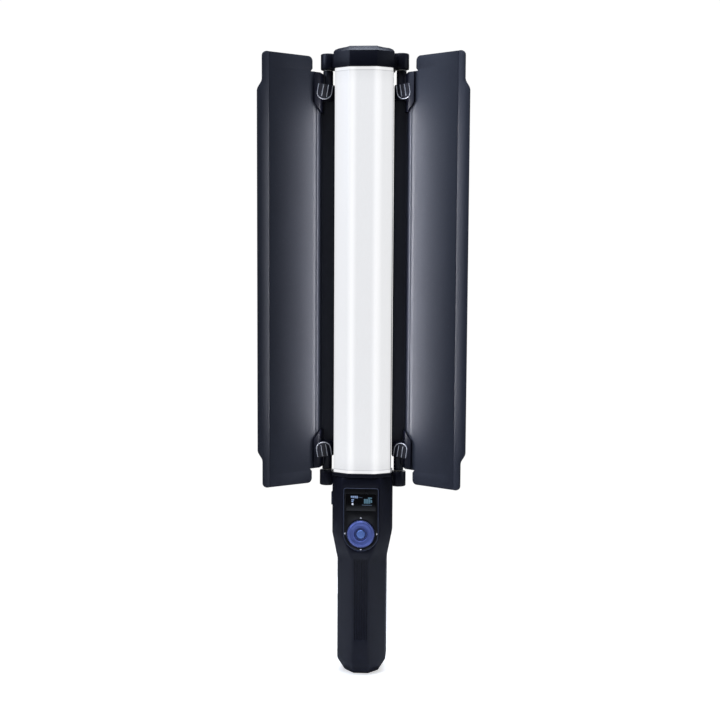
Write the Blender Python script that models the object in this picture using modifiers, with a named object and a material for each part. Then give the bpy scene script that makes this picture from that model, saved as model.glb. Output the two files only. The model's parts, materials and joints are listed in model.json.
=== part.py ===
"""Hand-held LED light wand: a fluted straight grip that carries a lit tube and two folding barn doors.

Frame: metres, +Z up along the tube, the lit face looks along -Y, and +X is to the right of someone
who looks at the lit face. The origin is the middle of the tripod socket in the handle's foot.
"""

import math

import bmesh
import bpy
from mathutils import Matrix, Vector

MM = 0.001

# Driving dimensions.
HANDLE_LENGTH = 164.0 * MM
HEAD_LENGTH = 322.3 * MM
TUBE_HALF_WIDTH = 23.0 * MM
TUBE_FRONT = 21.0 * MM
TUBE_BACK = 20.0 * MM
TUBE_FACET = 10.8 * MM
TUBE_SIDE_FRONT = 14.0 * MM
TUBE_SIDE_BACK = 9.0 * MM
DIFFUSER_WALL = 1.6 * MM
DIFFUSER_SIDE = 4.5 * MM
CLEARANCE = 0.3 * MM

# Handle.
HANDLE_OVER_TUBE = 1.3 * MM
GRIP_HALF_WIDTH = 20.0 * MM
FOOT_HALF_WIDTH = 13.8 * MM
HANDLE_FRONT = 20.5 * MM
GRIP_FRONT = 18.3 * MM
HANDLE_BACK = 20.0 * MM
GRIP_BACK = 18.0 * MM
WIDE_LENGTH = 47.4 * MM
TAPER_LENGTH = 21.8 * MM
FRONT_STEP_LENGTH = 7.0 * MM
FOOT_CHAMFER = 10.8 * MM
GRIP_FACET = 6.8 * MM
HANDLE_SIDE_FRONT = 9.0 * MM
GRIP_SIDE_FRONT = 8.2 * MM
SIDE_BACK = 11.5 * MM
BACK_FACET = 15.0 * MM
HANDLE_WALL = 2.4 * MM
HANDLE_TOP_WALL = 4.0 * MM
HANDLE_FOOT_WALL = 3.0 * MM
HANDLE_EDGE = 1.2 * MM
FLUTE_COUNT = 6
FLUTE_WIDTH = 1.0 * MM
FLUTE_DEPTH = 0.7 * MM
FLUTE_LOW = 29.6 * MM

# Collar, cap and ears.
COLLAR_THICK = 3.0 * MM
CAP_HEIGHT = 16.2 * MM
CAP_BAND = 12.2 * MM
CAP_OVER_TUBE = 1.0 * MM
CAP_TOP_HALF_WIDTH = 12.5 * MM
CAP_TOP_FRONT = 17.6 * MM
EAR_HEIGHT = 12.4 * MM
EAR_HALF_DEPTH = 4.8 * MM
EAR_EDGE = 0.8 * MM
EAR_BOSS_RADIUS = 6.0 * MM
NECK_RADIUS = 8.0 * MM
NECK_FLANGE_RADIUS = 11.0 * MM
NECK_FLANGE_THICK = 4.0 * MM
NECK_BORE_RADIUS = 5.0 * MM

# Barn doors. Their section is drawn with the main panel parallel to the picture plane.
HINGE_OUT = 6.3 * MM
HINGE_Y = -2.0 * MM
BARREL_RADIUS = 4.0 * MM
BARREL_LENGTH = 11.5 * MM
PIN_RADIUS = 1.5 * MM
PIN_IN_EAR = 6.0 * MM
PIN_IN_BARREL = 7.0 * MM
WASHER_THICK = 0.5 * MM
SHEET = 1.0 * MM
DOOR_OVERHANG = 8.2 * MM
DOOR_STEP = 3.3 * MM
LIP_TILT_DEG = 34.6
LIP_IN = 5.7 * MM
LIP_OUT = 4.9 * MM
PANEL_OFFSET = 5.9 * MM
BEND_OUT = 13.2 * MM
NOTCH_OUT = 18.2 * MM
CREASE_OUT = 56.7 * MM
END_EDGE_OUT = 62.4 * MM
LONG_EDGE_OUT = 66.4 * MM
EDGE_TILT_DEG = -8.0
TAPER_OUTER = 21.0 * MM
TAPER_INNER = 30.0 * MM
LEFT_DOOR_FORWARD_DEG = 36.6
RIGHT_DOOR_FORWARD_DEG = 32.7
ARM_PAD = 2.0 * MM
ARM_PAD_DROP = 29.5 * MM
SADDLE_LENGTH = 11.7 * MM
SADDLE_IN = 5.3 * MM
FRONT_PLATE = 1.5 * MM
FRONT_PLATE_OUT = 17.4 * MM
FRONT_PLATE_DROP = 33.0 * MM
FRONT_PLATE_CHAMFER = 6.5 * MM
RIVET_RADIUS = 1.2 * MM
RIVET_HEAD_RADIUS = 2.1 * MM
RIVET_HEAD_THICK = 0.6 * MM
RIVET_DROP = 26.0 * MM

# Housing and lamp.
HOUSING_INSET = 0.2 * MM
HOUSING_FLOOR = 10.6 * MM
FIN_ROOT = 16.0 * MM
FIN_PITCH = 4.0 * MM
FIN_GAP = 2.0 * MM
HOUSING_WALL = 2.0 * MM
LED_BOARD_HALF_WIDTH = 13.5 * MM
LED_BOARD_THICK = 1.2 * MM
LED_BOARD_END = 5.0 * MM
REFLECTOR_SHEET = 0.6 * MM
CAP_SCREW_X = 7.0 * MM

# Controls.
DIAL_RADIUS = 11.1 * MM
DIAL_THICK = 3.3 * MM
DIAL_PROUD = 2.5 * MM
DIAL_TO_PANEL_TOP = 37.5 * MM
PANEL_BELOW_TOP = 8.2 * MM
PANEL_MARGIN = 3.15 * MM
PANEL_THICK = 1.2 * MM
PANEL_LEDGE = 2.2 * MM
WINDOW_TO_PANEL_EDGE = 1.95 * MM
WINDOW_HEIGHT = 14.2 * MM
WINDOW_BELOW_PANEL_TOP = 4.9 * MM
BUTTON_RADIUS = 3.5 * MM
POWER_BELOW_TOP = 19.8 * MM
POWER_LENGTH = 10.8 * MM
POWER_WIDTH = 4.0 * MM
POWER_PROUD = 1.1 * MM
POWER_Y = -4.5 * MM
POWER_TRAVEL = 0.8 * MM
PORT_HEIGHT = 71.2 * MM
PORT_LENGTH = 13.4 * MM
PORT_WIDTH = 5.2 * MM
PORT_Y = -4.9 * MM
PORT_RECESS = 1.9 * MM
PORT_FLAP = 0.9 * MM
PORT_SUNK = 0.7 * MM

# Inside the handle.
CELL_RADIUS = 9.2 * MM
CELL_Y = 4.6 * MM
CELL_FOOT = 14.5 * MM
CELL_HEADROOM = 18.9 * MM
CELL_GAP = 0.6 * MM
BOARD_Y = -10.8 * MM
BOARD_THICK = 1.6 * MM
INSERT_RADIUS = 6.0 * MM
SOCKET_RADIUS = 3.3 * MM
SOCKET_DEPTH = 9.2 * MM
SCREW_RADIUS = 1.4 * MM
SCREW_HEAD_RADIUS = 2.7 * MM
SCREW_HEAD_THICK = 2.0 * MM
BOSS_RADIUS = 2.9 * MM
LOW_SCREW = (13.6 * MM, 22.0 * MM)
TOP_SCREW_X = 18.0 * MM
TOP_SCREW_BELOW_TOP = 9.0 * MM

# Sizes that follow from the ones above.
COLLAR_BOTTOM = HANDLE_LENGTH + CLEARANCE
COLLAR_TOP = COLLAR_BOTTOM + COLLAR_THICK
CAP_BOTTOM = COLLAR_TOP + HEAD_LENGTH
HEAD_MIDDLE = (COLLAR_TOP + CAP_BOTTOM) / 2
HEAD_HALF = HEAD_LENGTH / 2
CAP_TOP = CAP_BOTTOM + CAP_HEIGHT
HANDLE_HALF_WIDTH = TUBE_HALF_WIDTH + HANDLE_OVER_TUBE
CAP_HALF_WIDTH = TUBE_HALF_WIDTH + CAP_OVER_TUBE
HINGE_X = TUBE_HALF_WIDTH + HINGE_OUT
PANEL_RADIUS = DIAL_RADIUS + PANEL_MARGIN
WINDOW_HALF_WIDTH = PANEL_RADIUS - WINDOW_TO_PANEL_EDGE
HANDLE_FACET = PANEL_RADIUS + 1.2 * MM
PANEL_TOP = HANDLE_LENGTH - PANEL_BELOW_TOP
DIAL_Z = PANEL_TOP - DIAL_TO_PANEL_TOP
PANEL_FRONT = -HANDLE_FRONT
WASHER_TOP = HEAD_HALF - CLEARANCE
BARREL_TOP = WASHER_TOP - WASHER_THICK - CLEARANCE
BARREL_BOTTOM = BARREL_TOP - BARREL_LENGTH
LIP_HALF_HEIGHT = BARREL_BOTTOM - CLEARANCE
WALL_HALF_HEIGHT = HEAD_HALF - DOOR_STEP
DOOR_HALF_HEIGHT = HEAD_HALF + DOOR_OVERHANG
CELL_LENGTH = (HANDLE_LENGTH - CELL_FOOT - CELL_HEADROOM - CELL_GAP) / 2
POWER_Z = HANDLE_LENGTH - POWER_BELOW_TOP
TOP_SCREW = (TOP_SCREW_X, HANDLE_LENGTH - TOP_SCREW_BELOW_TOP)
SCREW_Y = (HOUSING_FLOOR + FIN_ROOT) / 2

# Places of the stacked control pieces along Y, from the panel's front face inwards.
DIAL_FRONT = PANEL_FRONT - DIAL_PROUD
DIAL_REAR = DIAL_FRONT + DIAL_THICK
CARRIER_FRONT = DIAL_REAR + CLEARANCE
CARRIER_REAR = CARRIER_FRONT + 1.2 * MM
GIMBAL_FRONT = CARRIER_REAR + 0.8 * MM
GIMBAL_REAR = GIMBAL_FRONT + 3.2 * MM
GIMBAL_Y = (GIMBAL_FRONT + GIMBAL_REAR) / 2
SWITCH_FRONT = BOARD_Y - CLEARANCE - 1.4 * MM
CARRIER_RADIUS = DIAL_RADIUS - 1.7 * MM
TUBE_OUTER = BUTTON_RADIUS + 1.5 * MM
TUBE_INNER = BUTTON_RADIUS + 0.4 * MM
TRUNNION_RADIUS = 0.7 * MM
GIMBAL_INNER = TUBE_OUTER + 0.7 * MM
GIMBAL_OUTER = GIMBAL_INNER + 2.6 * MM
POST_X = GIMBAL_OUTER + 1.4 * MM

COLOURS = {
    "shell": ((0.012, 0.014, 0.024), 0.45, 0.0),
    "door": ((0.020, 0.021, 0.028), 0.50, 0.3),
    "diffuser": ((0.90, 0.90, 0.90), 0.40, 0.0),
    "housing": ((0.015, 0.016, 0.020), 0.40, 0.7),
    "board": ((0.80, 0.80, 0.78), 0.50, 0.0),
    "green": ((0.02, 0.10, 0.05), 0.45, 0.0),
    "steel": ((0.55, 0.56, 0.58), 0.30, 1.0),
    "dial": ((0.10, 0.12, 0.42), 0.30, 0.6),
    "button": ((0.18, 0.30, 0.62), 0.30, 0.4),
    "glass": ((0.01, 0.01, 0.012), 0.10, 0.0),
    "rubber": ((0.01, 0.01, 0.012), 0.80, 0.0),
    "brass": ((0.60, 0.42, 0.18), 0.35, 1.0),
    "cell": ((0.05, 0.16, 0.34), 0.40, 0.0),
    "nylon": ((0.55, 0.55, 0.52), 0.55, 0.0),
}


def clear_scene():
    """Removes what the file starts with."""
    for item in list(bpy.data.objects):
        bpy.data.objects.remove(item, do_unlink=True)


def new_collection(name):
    made = bpy.data.collections.new(name)
    bpy.context.scene.collection.children.link(made)
    return made


def paint(name, slot):
    """A Principled material of its own for one piece."""
    colour, roughness, metallic = COLOURS[slot]
    made = bpy.data.materials.new(name)
    made.use_nodes = True
    shader = made.node_tree.nodes["Principled BSDF"]
    shader.inputs["Base Color"].default_value = (*colour, 1.0)
    shader.inputs["Roughness"].default_value = roughness
    shader.inputs["Metallic"].default_value = metallic
    return made


def add_mesh(name, mesh, slot=None, parent=None):
    """Links a mesh as a piece with a finish, or as a hidden tool when it has none."""
    made = bpy.data.objects.new(name, mesh)
    if slot is None:
        TOOLS.objects.link(made)
        made.hide_render = True
        made.display_type = "WIRE"
    else:
        PIECES.objects.link(made)
        mesh.materials.append(paint(name, slot))
    mesh.shade_smooth()
    mesh.set_sharp_from_angle(angle=math.radians(30))
    if parent:
        made.parent = parent
    return made


def add_bmesh(name, work, slot=None, parent=None):
    bmesh.ops.recalc_face_normals(work, faces=work.faces)
    mesh = bpy.data.meshes.new(name)
    work.to_mesh(mesh)
    work.free()
    return add_mesh(name, mesh, slot, parent)


def boxes(name, corner_pairs, slot=None, parent=None):
    """One or more boxes, each given by its lowest and highest corner."""
    work = bmesh.new()
    for low, high in corner_pairs:
        middle = (Vector(low) + Vector(high)) / 2
        size = Vector(high) - Vector(low)
        place = Matrix.Translation(middle) @ Matrix.Diagonal((*size, 1.0))
        bmesh.ops.create_cube(work, size=1.0, matrix=place)
    return add_bmesh(name, work, slot, parent)


def rods(name, ends_and_radii, slot=None, parent=None, sides=32):
    """One or more straight rods, each given by its two ends and its radius."""
    work = bmesh.new()
    for start, end, radius in ends_and_radii:
        run = Vector(end) - Vector(start)
        turn = Vector((0, 0, 1)).rotation_difference(run).to_matrix().to_4x4()
        place = Matrix.Translation((Vector(start) + Vector(end)) / 2) @ turn
        bmesh.ops.create_cone(
            work, cap_ends=True, segments=sides, radius1=radius, radius2=radius,
            depth=run.length, matrix=place,
        )
    return add_bmesh(name, work, slot, parent)


def plate_mesh(name, outline, low, high):
    """The mesh of a flat outline in X and Y, made as a filled 2D curve and as thick as low to high."""
    curve = bpy.data.curves.new(name, "CURVE")
    curve.dimensions = "2D"
    curve.fill_mode = "BOTH"
    curve.extrude = (high - low) / 2
    spline = curve.splines.new("POLY")
    spline.points.add(len(outline) - 1)
    for point, (x, y) in zip(spline.points, outline):
        point.co = (x, y, 0.0, 1.0)
    spline.use_cyclic_u = True
    guide = bpy.data.objects.new(name, curve)
    TOOLS.objects.link(guide)
    bpy.context.view_layer.update()
    mesh = bpy.data.meshes.new_from_object(guide.evaluated_get(bpy.context.evaluated_depsgraph_get()))
    bpy.data.objects.remove(guide, do_unlink=True)
    mesh.name = name
    work = bmesh.new()
    work.from_mesh(mesh)
    bmesh.ops.remove_doubles(work, verts=work.verts, dist=0.001 * MM)
    bmesh.ops.translate(work, verts=work.verts, vec=(0, 0, (low + high) / 2))
    bmesh.ops.recalc_face_normals(work, faces=work.faces)
    work.to_mesh(mesh)
    work.free()
    return mesh


def plate(name, outline, low, high, slot=None, parent=None):
    return add_mesh(name, plate_mesh(name, outline, low, high), slot, parent)


def front_plate(name, outline, front, rear, slot=None, parent=None):
    """A flat outline in X and Z that is as thick as the stretch of Y from front to rear."""
    mesh = plate_mesh(name, outline, -rear, -front)
    mesh.transform(Matrix.Rotation(math.radians(90), 4, "X"))
    return add_mesh(name, mesh, slot, parent)


def turned(name, profile, slot=None, axis="Z", place=(0, 0, 0), sides=48):
    """A turned shape. The profile holds radius and height, and runs down its outer side."""
    mesh = bpy.data.meshes.new(name)
    count = len(profile)
    ring = profile[0][0] > 0
    edges = [(i, i + 1) for i in range(count - 1)] + ([(count - 1, 0)] if ring else [])
    mesh.from_pydata([(radius, 0.0, height) for radius, height in profile], edges, [])
    made = add_mesh(name, mesh, slot)
    screw = made.modifiers.new("turn", "SCREW")
    screw.steps = sides
    screw.render_steps = sides
    screw.use_merge_vertices = True
    screw.merge_threshold = 0.001 * MM
    made.location = place
    if axis == "Y":
        made.rotation_euler = (math.radians(90), 0, 0)
    return made


def loft(name, rings, slot=None):
    """A closed body through rings of equally many points, each ring a list of (x, y, z)."""
    work = bmesh.new()
    loops = []
    for ring in rings:
        verts = [work.verts.new(point) for point in ring]
        loops.append([work.edges.new((verts[i - 1], verts[i])) for i in range(len(verts))])
    for lower, upper in zip(loops, loops[1:]):
        bmesh.ops.bridge_loops(work, edges=lower + upper)
    bmesh.ops.edgeloop_fill(work, edges=loops[0])
    bmesh.ops.edgeloop_fill(work, edges=loops[-1])
    return add_bmesh(name, work, slot)


def boolean(piece, tool, operation="DIFFERENCE"):
    step = piece.modifiers.new(operation.lower(), "BOOLEAN")
    step.operation = operation
    step.object = tool
    return piece


def soften(piece, width, segments=2, angle=25):
    step = piece.modifiers.new("soften", "BEVEL")
    step.width = width
    step.segments = segments
    step.limit_method = "ANGLE"
    step.angle_limit = math.radians(angle)
    return piece


def empty(name, place, turn=0.0):
    made = bpy.data.objects.new(name, None)
    PIECES.objects.link(made)
    made.location = place
    made.rotation_euler = (0, 0, turn)
    return made


def octagon(half_width, front, back, front_facet, back_facet, side_front, side_back, height=None):
    """The eight corners of a section that is flat in front, at the back and at both sides."""
    right = [(front_facet, -front), (half_width, -side_front), (half_width, side_back), (back_facet, back)]
    left = [(-x, y) for x, y in reversed(right)]
    return [(x, y) if height is None else (x, y, height) for x, y in right + left]


def arc(centre_x, centre_y, radius, start_deg, end_deg, steps):
    """Points along an arc, both ends included."""
    angles = [math.radians(start_deg + (end_deg - start_deg) * i / steps) for i in range(steps + 1)]
    return [(centre_x + radius * math.cos(a), centre_y + radius * math.sin(a)) for a in angles]


# ---------------------------------------------------------------- head


def rear_housing():
    """Extruded trough: side walls that the diffuser slips over, a thick floor, and fins behind."""
    wall_out = TUBE_HALF_WIDTH - HOUSING_INSET
    tongue_out = TUBE_HALF_WIDTH - DIFFUSER_WALL - CLEARANCE
    tongue_in = tongue_out - HOUSING_WALL
    seat = -TUBE_SIDE_FRONT + DIFFUSER_SIDE
    right = [
        (tongue_in, seat - 3.0 * MM), (tongue_out, seat - 3.0 * MM), (tongue_out, seat),
        (wall_out, seat), (wall_out, TUBE_SIDE_BACK),
    ]
    fin_span = wall_out - (TUBE_BACK - TUBE_SIDE_BACK) * 0.8
    back = []
    fins = int(fin_span / FIN_PITCH)
    for i in range(fins, -fins - 1, -1):
        middle = i * FIN_PITCH
        half = (FIN_PITCH - FIN_GAP) / 2
        back += [(middle + half, FIN_ROOT), (middle + half, TUBE_BACK),
                 (middle - half, TUBE_BACK), (middle - half, FIN_ROOT)]
    back = back[1:-1]
    floor = [(tongue_in, HOUSING_FLOOR - 3.0 * MM), (tongue_in - 3.0 * MM, HOUSING_FLOOR)]
    left = [(-x, y) for x, y in reversed(right)]
    outline = right + back + left + [(-x, y) for x, y in floor] + list(reversed(floor))
    housing = plate("rear_housing", outline, COLLAR_TOP + CLEARANCE, CAP_BOTTOM - CLEARANCE, "housing")
    holes = [((x, SCREW_Y, CAP_BOTTOM - 14 * MM), (x, SCREW_Y, CAP_BOTTOM + 1 * MM), SCREW_RADIUS + CLEARANCE)
             for x in (-CAP_SCREW_X, CAP_SCREW_X)]
    boolean(housing, rods("housing_screw_holes", holes, sides=16))


def diffuser():
    """Extruded milky cover: a flat front, two slanted shoulders and two short sides."""
    corner = 3.5 * MM
    edge = -TUBE_SIDE_FRONT + DIFFUSER_SIDE - CLEARANCE
    half = [(TUBE_HALF_WIDTH, edge), (TUBE_HALF_WIDTH, -TUBE_SIDE_FRONT), (TUBE_FACET, -TUBE_FRONT)]
    outer = rounded_run(half + [(-x, y) for x, y in reversed(half)], corner)
    inner = offset_run(outer, -DIFFUSER_WALL)
    plate("diffuser", outer + inner[::-1], COLLAR_TOP + CLEARANCE, CAP_BOTTOM - CLEARANCE, "diffuser")


def rounded_run(points, radius, steps=4):
    """An open run of straight stretches with its inner corners rounded."""
    run = [Vector(points[0])]
    for before, corner, after in zip(points, points[1:], points[2:]):
        corner = Vector(corner)
        back = (Vector(before) - corner).normalized()
        ahead = (Vector(after) - corner).normalized()
        half = math.acos(max(-1.0, min(1.0, back.dot(ahead)))) / 2
        reach = radius / math.tan(half)
        centre = corner + (back + ahead).normalized() * (radius / math.sin(half))
        start = corner + back * reach - centre
        end = corner + ahead * reach - centre
        sweep = start.angle_signed(end)
        run += [centre + Matrix.Rotation(-sweep * i / steps, 2) @ start for i in range(steps + 1)]
    run.append(Vector(points[-1]))
    return [tuple(point) for point in run]


def offset_run(points, distance):
    """The same open run, moved to its left-hand side by a distance."""
    moved = []
    for i, point in enumerate(points):
        before = Vector(points[max(i - 1, 0)])
        after = Vector(points[min(i + 1, len(points) - 1)])
        here = Vector(point)
        first = (here - before).normalized() if i else (after - here).normalized()
        second = (after - here).normalized() if i < len(points) - 1 else first
        normal = Vector((-first.y - second.y, first.x + second.x)).normalized()
        stretch = normal.dot(Vector((-first.y, first.x)))
        moved.append(tuple(here + normal * distance / max(stretch, 0.3)))
    return moved


def lamp():
    """The strip of lamps on its board, and the white tray that throws its light forward."""
    low = COLLAR_TOP + LED_BOARD_END
    high = CAP_BOTTOM - LED_BOARD_END
    rear = HOUSING_FLOOR - CLEARANCE
    boxes("led_board", [((-LED_BOARD_HALF_WIDTH, rear - LED_BOARD_THICK, low),
                         (LED_BOARD_HALF_WIDTH, rear, high))], "board")
    rim = TUBE_HALF_WIDTH - DIFFUSER_WALL - HOUSING_WALL - 3 * CLEARANCE
    bottom = rear - LED_BOARD_THICK - CLEARANCE - REFLECTOR_SHEET / 2
    half = [(rim, -TUBE_SIDE_FRONT + 2.5 * MM), (rim, bottom - 6 * MM), (rim - 6 * MM, bottom)]
    middle = half + [(-x, y) for x, y in reversed(half)]
    left_side = offset_run(middle, REFLECTOR_SHEET / 2)
    right_side = offset_run(middle, -REFLECTOR_SHEET / 2)
    tray = plate("reflector_tray", left_side + list(reversed(right_side)), low, high, "diffuser")
    slot_half = rim - 9 * MM
    boolean(tray, boxes("reflector_slot", [((-slot_half, bottom - 2 * MM, low + 4 * MM),
                                            (slot_half, bottom + 2 * MM, high - 4 * MM))]))


def cap_section(height, half_width, front, facet):
    drop = CAP_HALF_WIDTH - half_width
    back = TUBE_BACK + CAP_OVER_TUBE - drop * 0.45
    return octagon(half_width, front, back, facet, BACK_FACET - drop * 0.25,
                   max(TUBE_SIDE_FRONT - drop * 0.3, 3 * MM), TUBE_SIDE_BACK - drop * 0.2, height)


def ear_boxes(low, high, inner, outer=HINGE_X, half_depth=EAR_HALF_DEPTH):
    """One box each side, from an inner to an outer distance from the middle."""
    pairs = []
    for side in (-1, 1):
        ends = sorted((side * inner, side * outer))
        pairs.append(((ends[0], HINGE_Y - half_depth, low), (ends[1], HINGE_Y + half_depth, high)))
    return pairs


def ear_bosses(name, low, high):
    """The round boss at the end of each ear, about the hinge axis."""
    ends = [((side * HINGE_X, HINGE_Y, low), (side * HINGE_X, HINGE_Y, high), EAR_BOSS_RADIUS)
            for side in (-1, 1)]
    return soften(rods(name, ends, sides=40), EAR_EDGE)


def pin_sockets(name, low, high):
    reach = [((side * HINGE_X, HINGE_Y, low), (side * HINGE_X, HINGE_Y, high), PIN_RADIUS + CLEARANCE)
             for side in (-1, 1)]
    return rods(name, reach, sides=24)


def top_cap():
    """Moulded end cap with a domed top and one ear each side for a hinge pin."""
    front = TUBE_FRONT + CAP_OVER_TUBE
    shrink = CAP_HALF_WIDTH - CAP_TOP_HALF_WIDTH
    rings = [cap_section(CAP_BOTTOM, CAP_HALF_WIDTH, front, TUBE_FACET)]
    for share, rise in ((0.0, 0.0), (0.10, 0.40), (0.35, 0.74), (0.68, 0.92), (1.0, 1.0)):
        height = CAP_BOTTOM + CAP_BAND + (CAP_HEIGHT - CAP_BAND) * rise
        rings.append(cap_section(height, CAP_HALF_WIDTH - shrink * share,
                                 front - (front - CAP_TOP_FRONT) * rise, TUBE_FACET))
    cap = loft("top_cap", rings, "shell")
    ear_top = CAP_BOTTOM + EAR_HEIGHT
    ears = boxes("top_ears", ear_boxes(CAP_BOTTOM, ear_top, CAP_HALF_WIDTH - 4 * MM))
    boolean(cap, soften(ears, EAR_EDGE), "UNION")
    boolean(cap, ear_bosses("top_ear_bosses", CAP_BOTTOM, ear_top), "UNION")
    pocket = TUBE_HALF_WIDTH - 6 * MM
    boolean(cap, boxes("cap_pocket", [((-pocket, -13 * MM, CAP_BOTTOM - 1 * MM),
                                       (pocket, 9 * MM, CAP_BOTTOM + 8 * MM))]))
    boolean(cap, pin_sockets("top_pin_sockets", CAP_BOTTOM - 1 * MM, CAP_BOTTOM + PIN_IN_EAR + CLEARANCE))
    head_seat = CAP_TOP - SCREW_HEAD_THICK - 0.4 * MM
    cuts = []
    for x in (-CAP_SCREW_X, CAP_SCREW_X):
        cuts.append(((x, SCREW_Y, CAP_BOTTOM - 1 * MM), (x, SCREW_Y, CAP_TOP), SCREW_RADIUS + CLEARANCE))
        cuts.append(((x, SCREW_Y, head_seat), (x, SCREW_Y, CAP_TOP + 1 * MM), SCREW_HEAD_RADIUS + CLEARANCE))
        screw("top_cap_screw_" + ("left" if x < 0 else "right"), (x, SCREW_Y, head_seat + CLEARANCE),
              (0, 0, 1), CAP_HEIGHT + 7 * MM)
    for i, cut in enumerate(cuts):
        boolean(cap, rods("cap_cut_%d" % i, [cut], sides=24))


def screw(name, seat, outward, length):
    """A cylinder-head screw whose head stands on seat, with its shank running inwards."""
    out = Vector(outward)
    base = Vector(seat)
    shank = rods(name, [(base - out * length, base + out * SCREW_HEAD_THICK / 2, SCREW_RADIUS)], "steel", sides=16)
    head = rods(name + "_head", [(base, base + out * SCREW_HEAD_THICK, SCREW_HEAD_RADIUS)], sides=24)
    boolean(shank, head, "UNION")
    boolean(shank, rods(name + "_recess", [(base + out * SCREW_HEAD_THICK * 0.4,
                                            base + out * SCREW_HEAD_THICK * 1.5, 1.2 * MM)], sides=6))
    return shank


def lower_collar():
    """The ring that joins tube and handle: an ear each side, and a flanged neck that the handle grips."""
    front = TUBE_FRONT + CAP_OVER_TUBE
    rings = [cap_section(z, CAP_HALF_WIDTH, front, TUBE_FACET) for z in (COLLAR_BOTTOM, COLLAR_TOP)]
    collar = loft("lower_collar", rings, "shell")
    low = COLLAR_TOP - EAR_HEIGHT
    ear_inner = HANDLE_HALF_WIDTH + 0.4 * MM
    ears = soften(boxes("lower_ears", ear_boxes(low, COLLAR_TOP, ear_inner)), EAR_EDGE)
    bosses = ear_bosses("lower_ear_bosses", low, COLLAR_TOP)
    room = ear_inner + EAR_EDGE / 2
    boolean(bosses, boxes("handle_room", [((-room, -EAR_BOSS_RADIUS - 1 * MM, low - 1 * MM),
                                           (room, EAR_BOSS_RADIUS, COLLAR_BOTTOM + CLEARANCE / 2))]))
    web_low, web_high = COLLAR_BOTTOM + CLEARANCE, COLLAR_TOP - CLEARANCE
    web = boxes("lower_ear_webs", ear_boxes(web_low, web_high, ear_inner - 5 * MM, HINGE_X - 3 * MM,
                                            EAR_HALF_DEPTH - 1 * MM))
    neck_low = HANDLE_LENGTH - HANDLE_TOP_WALL - CLEARANCE
    flange_low = neck_low - NECK_FLANGE_THICK
    neck = rods("neck", [((0, 0, flange_low), (0, 0, COLLAR_TOP - 1 * MM), NECK_RADIUS)])
    flange = rods("neck_flange", [((0, 0, flange_low), (0, 0, neck_low), NECK_FLANGE_RADIUS)])
    for tool in (ears, bosses, web, neck, flange):
        boolean(collar, tool, "UNION")
    above = COLLAR_TOP + 1 * MM
    boolean(collar, rods("neck_bore", [((0, 0, flange_low - 1 * MM), (0, 0, above), NECK_BORE_RADIUS)]))
    boolean(collar, pin_sockets("lower_pin_sockets", COLLAR_TOP - PIN_IN_EAR - CLEARANCE, above))


# ---------------------------------------------------------------- barn doors


def door_section():
    """The lip's two ends and the fold of the wall with the panel, as (out, forward) from the hinge axis."""
    tilt = math.radians(LIP_TILT_DEG)
    lip_in = (-LIP_IN * math.cos(tilt), LIP_IN * math.sin(tilt))
    lip_out = (LIP_OUT * math.cos(tilt), -LIP_OUT * math.sin(tilt))
    bend = (BEND_OUT, PANEL_OFFSET)
    return lip_in, lip_out, bend


def wall_frame():
    """A point on the wall between lip and bend, the wall's direction, and its normal to the rear."""
    _, lip_out, bend = door_section()
    along = (Vector(bend) - Vector(lip_out)).normalized()
    return Vector(lip_out), Vector(bend), along, Vector((along.y, -along.x))


def door_cells():
    """Stations across the sheet with the half height of the strip that starts at each."""
    lip_in, lip_out, bend = door_section()
    wall_start, wall_end, along, _ = wall_frame()
    split = wall_end - along * (wall_end - wall_start).length * 0.48
    tilt = math.radians(EDGE_TILT_DEG)
    end_run = END_EDGE_OUT - CREASE_OUT
    long_run = LONG_EDGE_OUT - CREASE_OUT
    end_edge = (CREASE_OUT + end_run, PANEL_OFFSET + end_run * math.tan(tilt))
    long_edge = (CREASE_OUT + long_run, PANEL_OFFSET + long_run * math.tan(tilt))
    stations = [lip_in, lip_out, tuple(split), bend, (NOTCH_OUT, PANEL_OFFSET),
                (CREASE_OUT, PANEL_OFFSET), end_edge]
    heights = [LIP_HALF_HEIGHT] * 2 + [WALL_HALF_HEIGHT] * 2 + [DOOR_HALF_HEIGHT] * 2
    return stations, heights, long_edge


def door_panel(name, side, hinge):
    """Folded sheet: a lip beside the tube, a steep wall, the broad panel and a raked outer edge."""
    stations, heights, long_edge = door_cells()
    inner = DOOR_HALF_HEIGHT - TAPER_INNER
    outer = DOOR_HALF_HEIGHT - TAPER_OUTER
    levels = sorted({sign * h for h in heights + [inner, outer] for sign in (-1, 1)})
    work = bmesh.new()
    verts = {}

    def vert(column, level):
        key = (column, level)
        if key not in verts:
            u, v = stations[column]
            if column == len(stations) - 1 and abs(level) <= inner:
                u, v = long_edge
            verts[key] = work.verts.new((side * u, -v, HEAD_MIDDLE + level))
        return verts[key]

    for column, half in enumerate(heights):
        for low, high in zip(levels, levels[1:]):
            if max(abs(low), abs(high)) > half:
                continue
            corners = [vert(column, low), vert(column + 1, low), vert(column + 1, high), vert(column, high)]
            work.faces.new(corners if side > 0 else reversed(corners))
    mesh = bpy.data.meshes.new(name)
    work.to_mesh(mesh)
    work.free()
    panel = add_mesh(name, mesh, "door", hinge)
    thick = panel.modifiers.new("sheet", "SOLIDIFY")
    thick.thickness = SHEET
    thick.offset = 0.0
    thick.use_even_offset = True
    return panel


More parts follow.
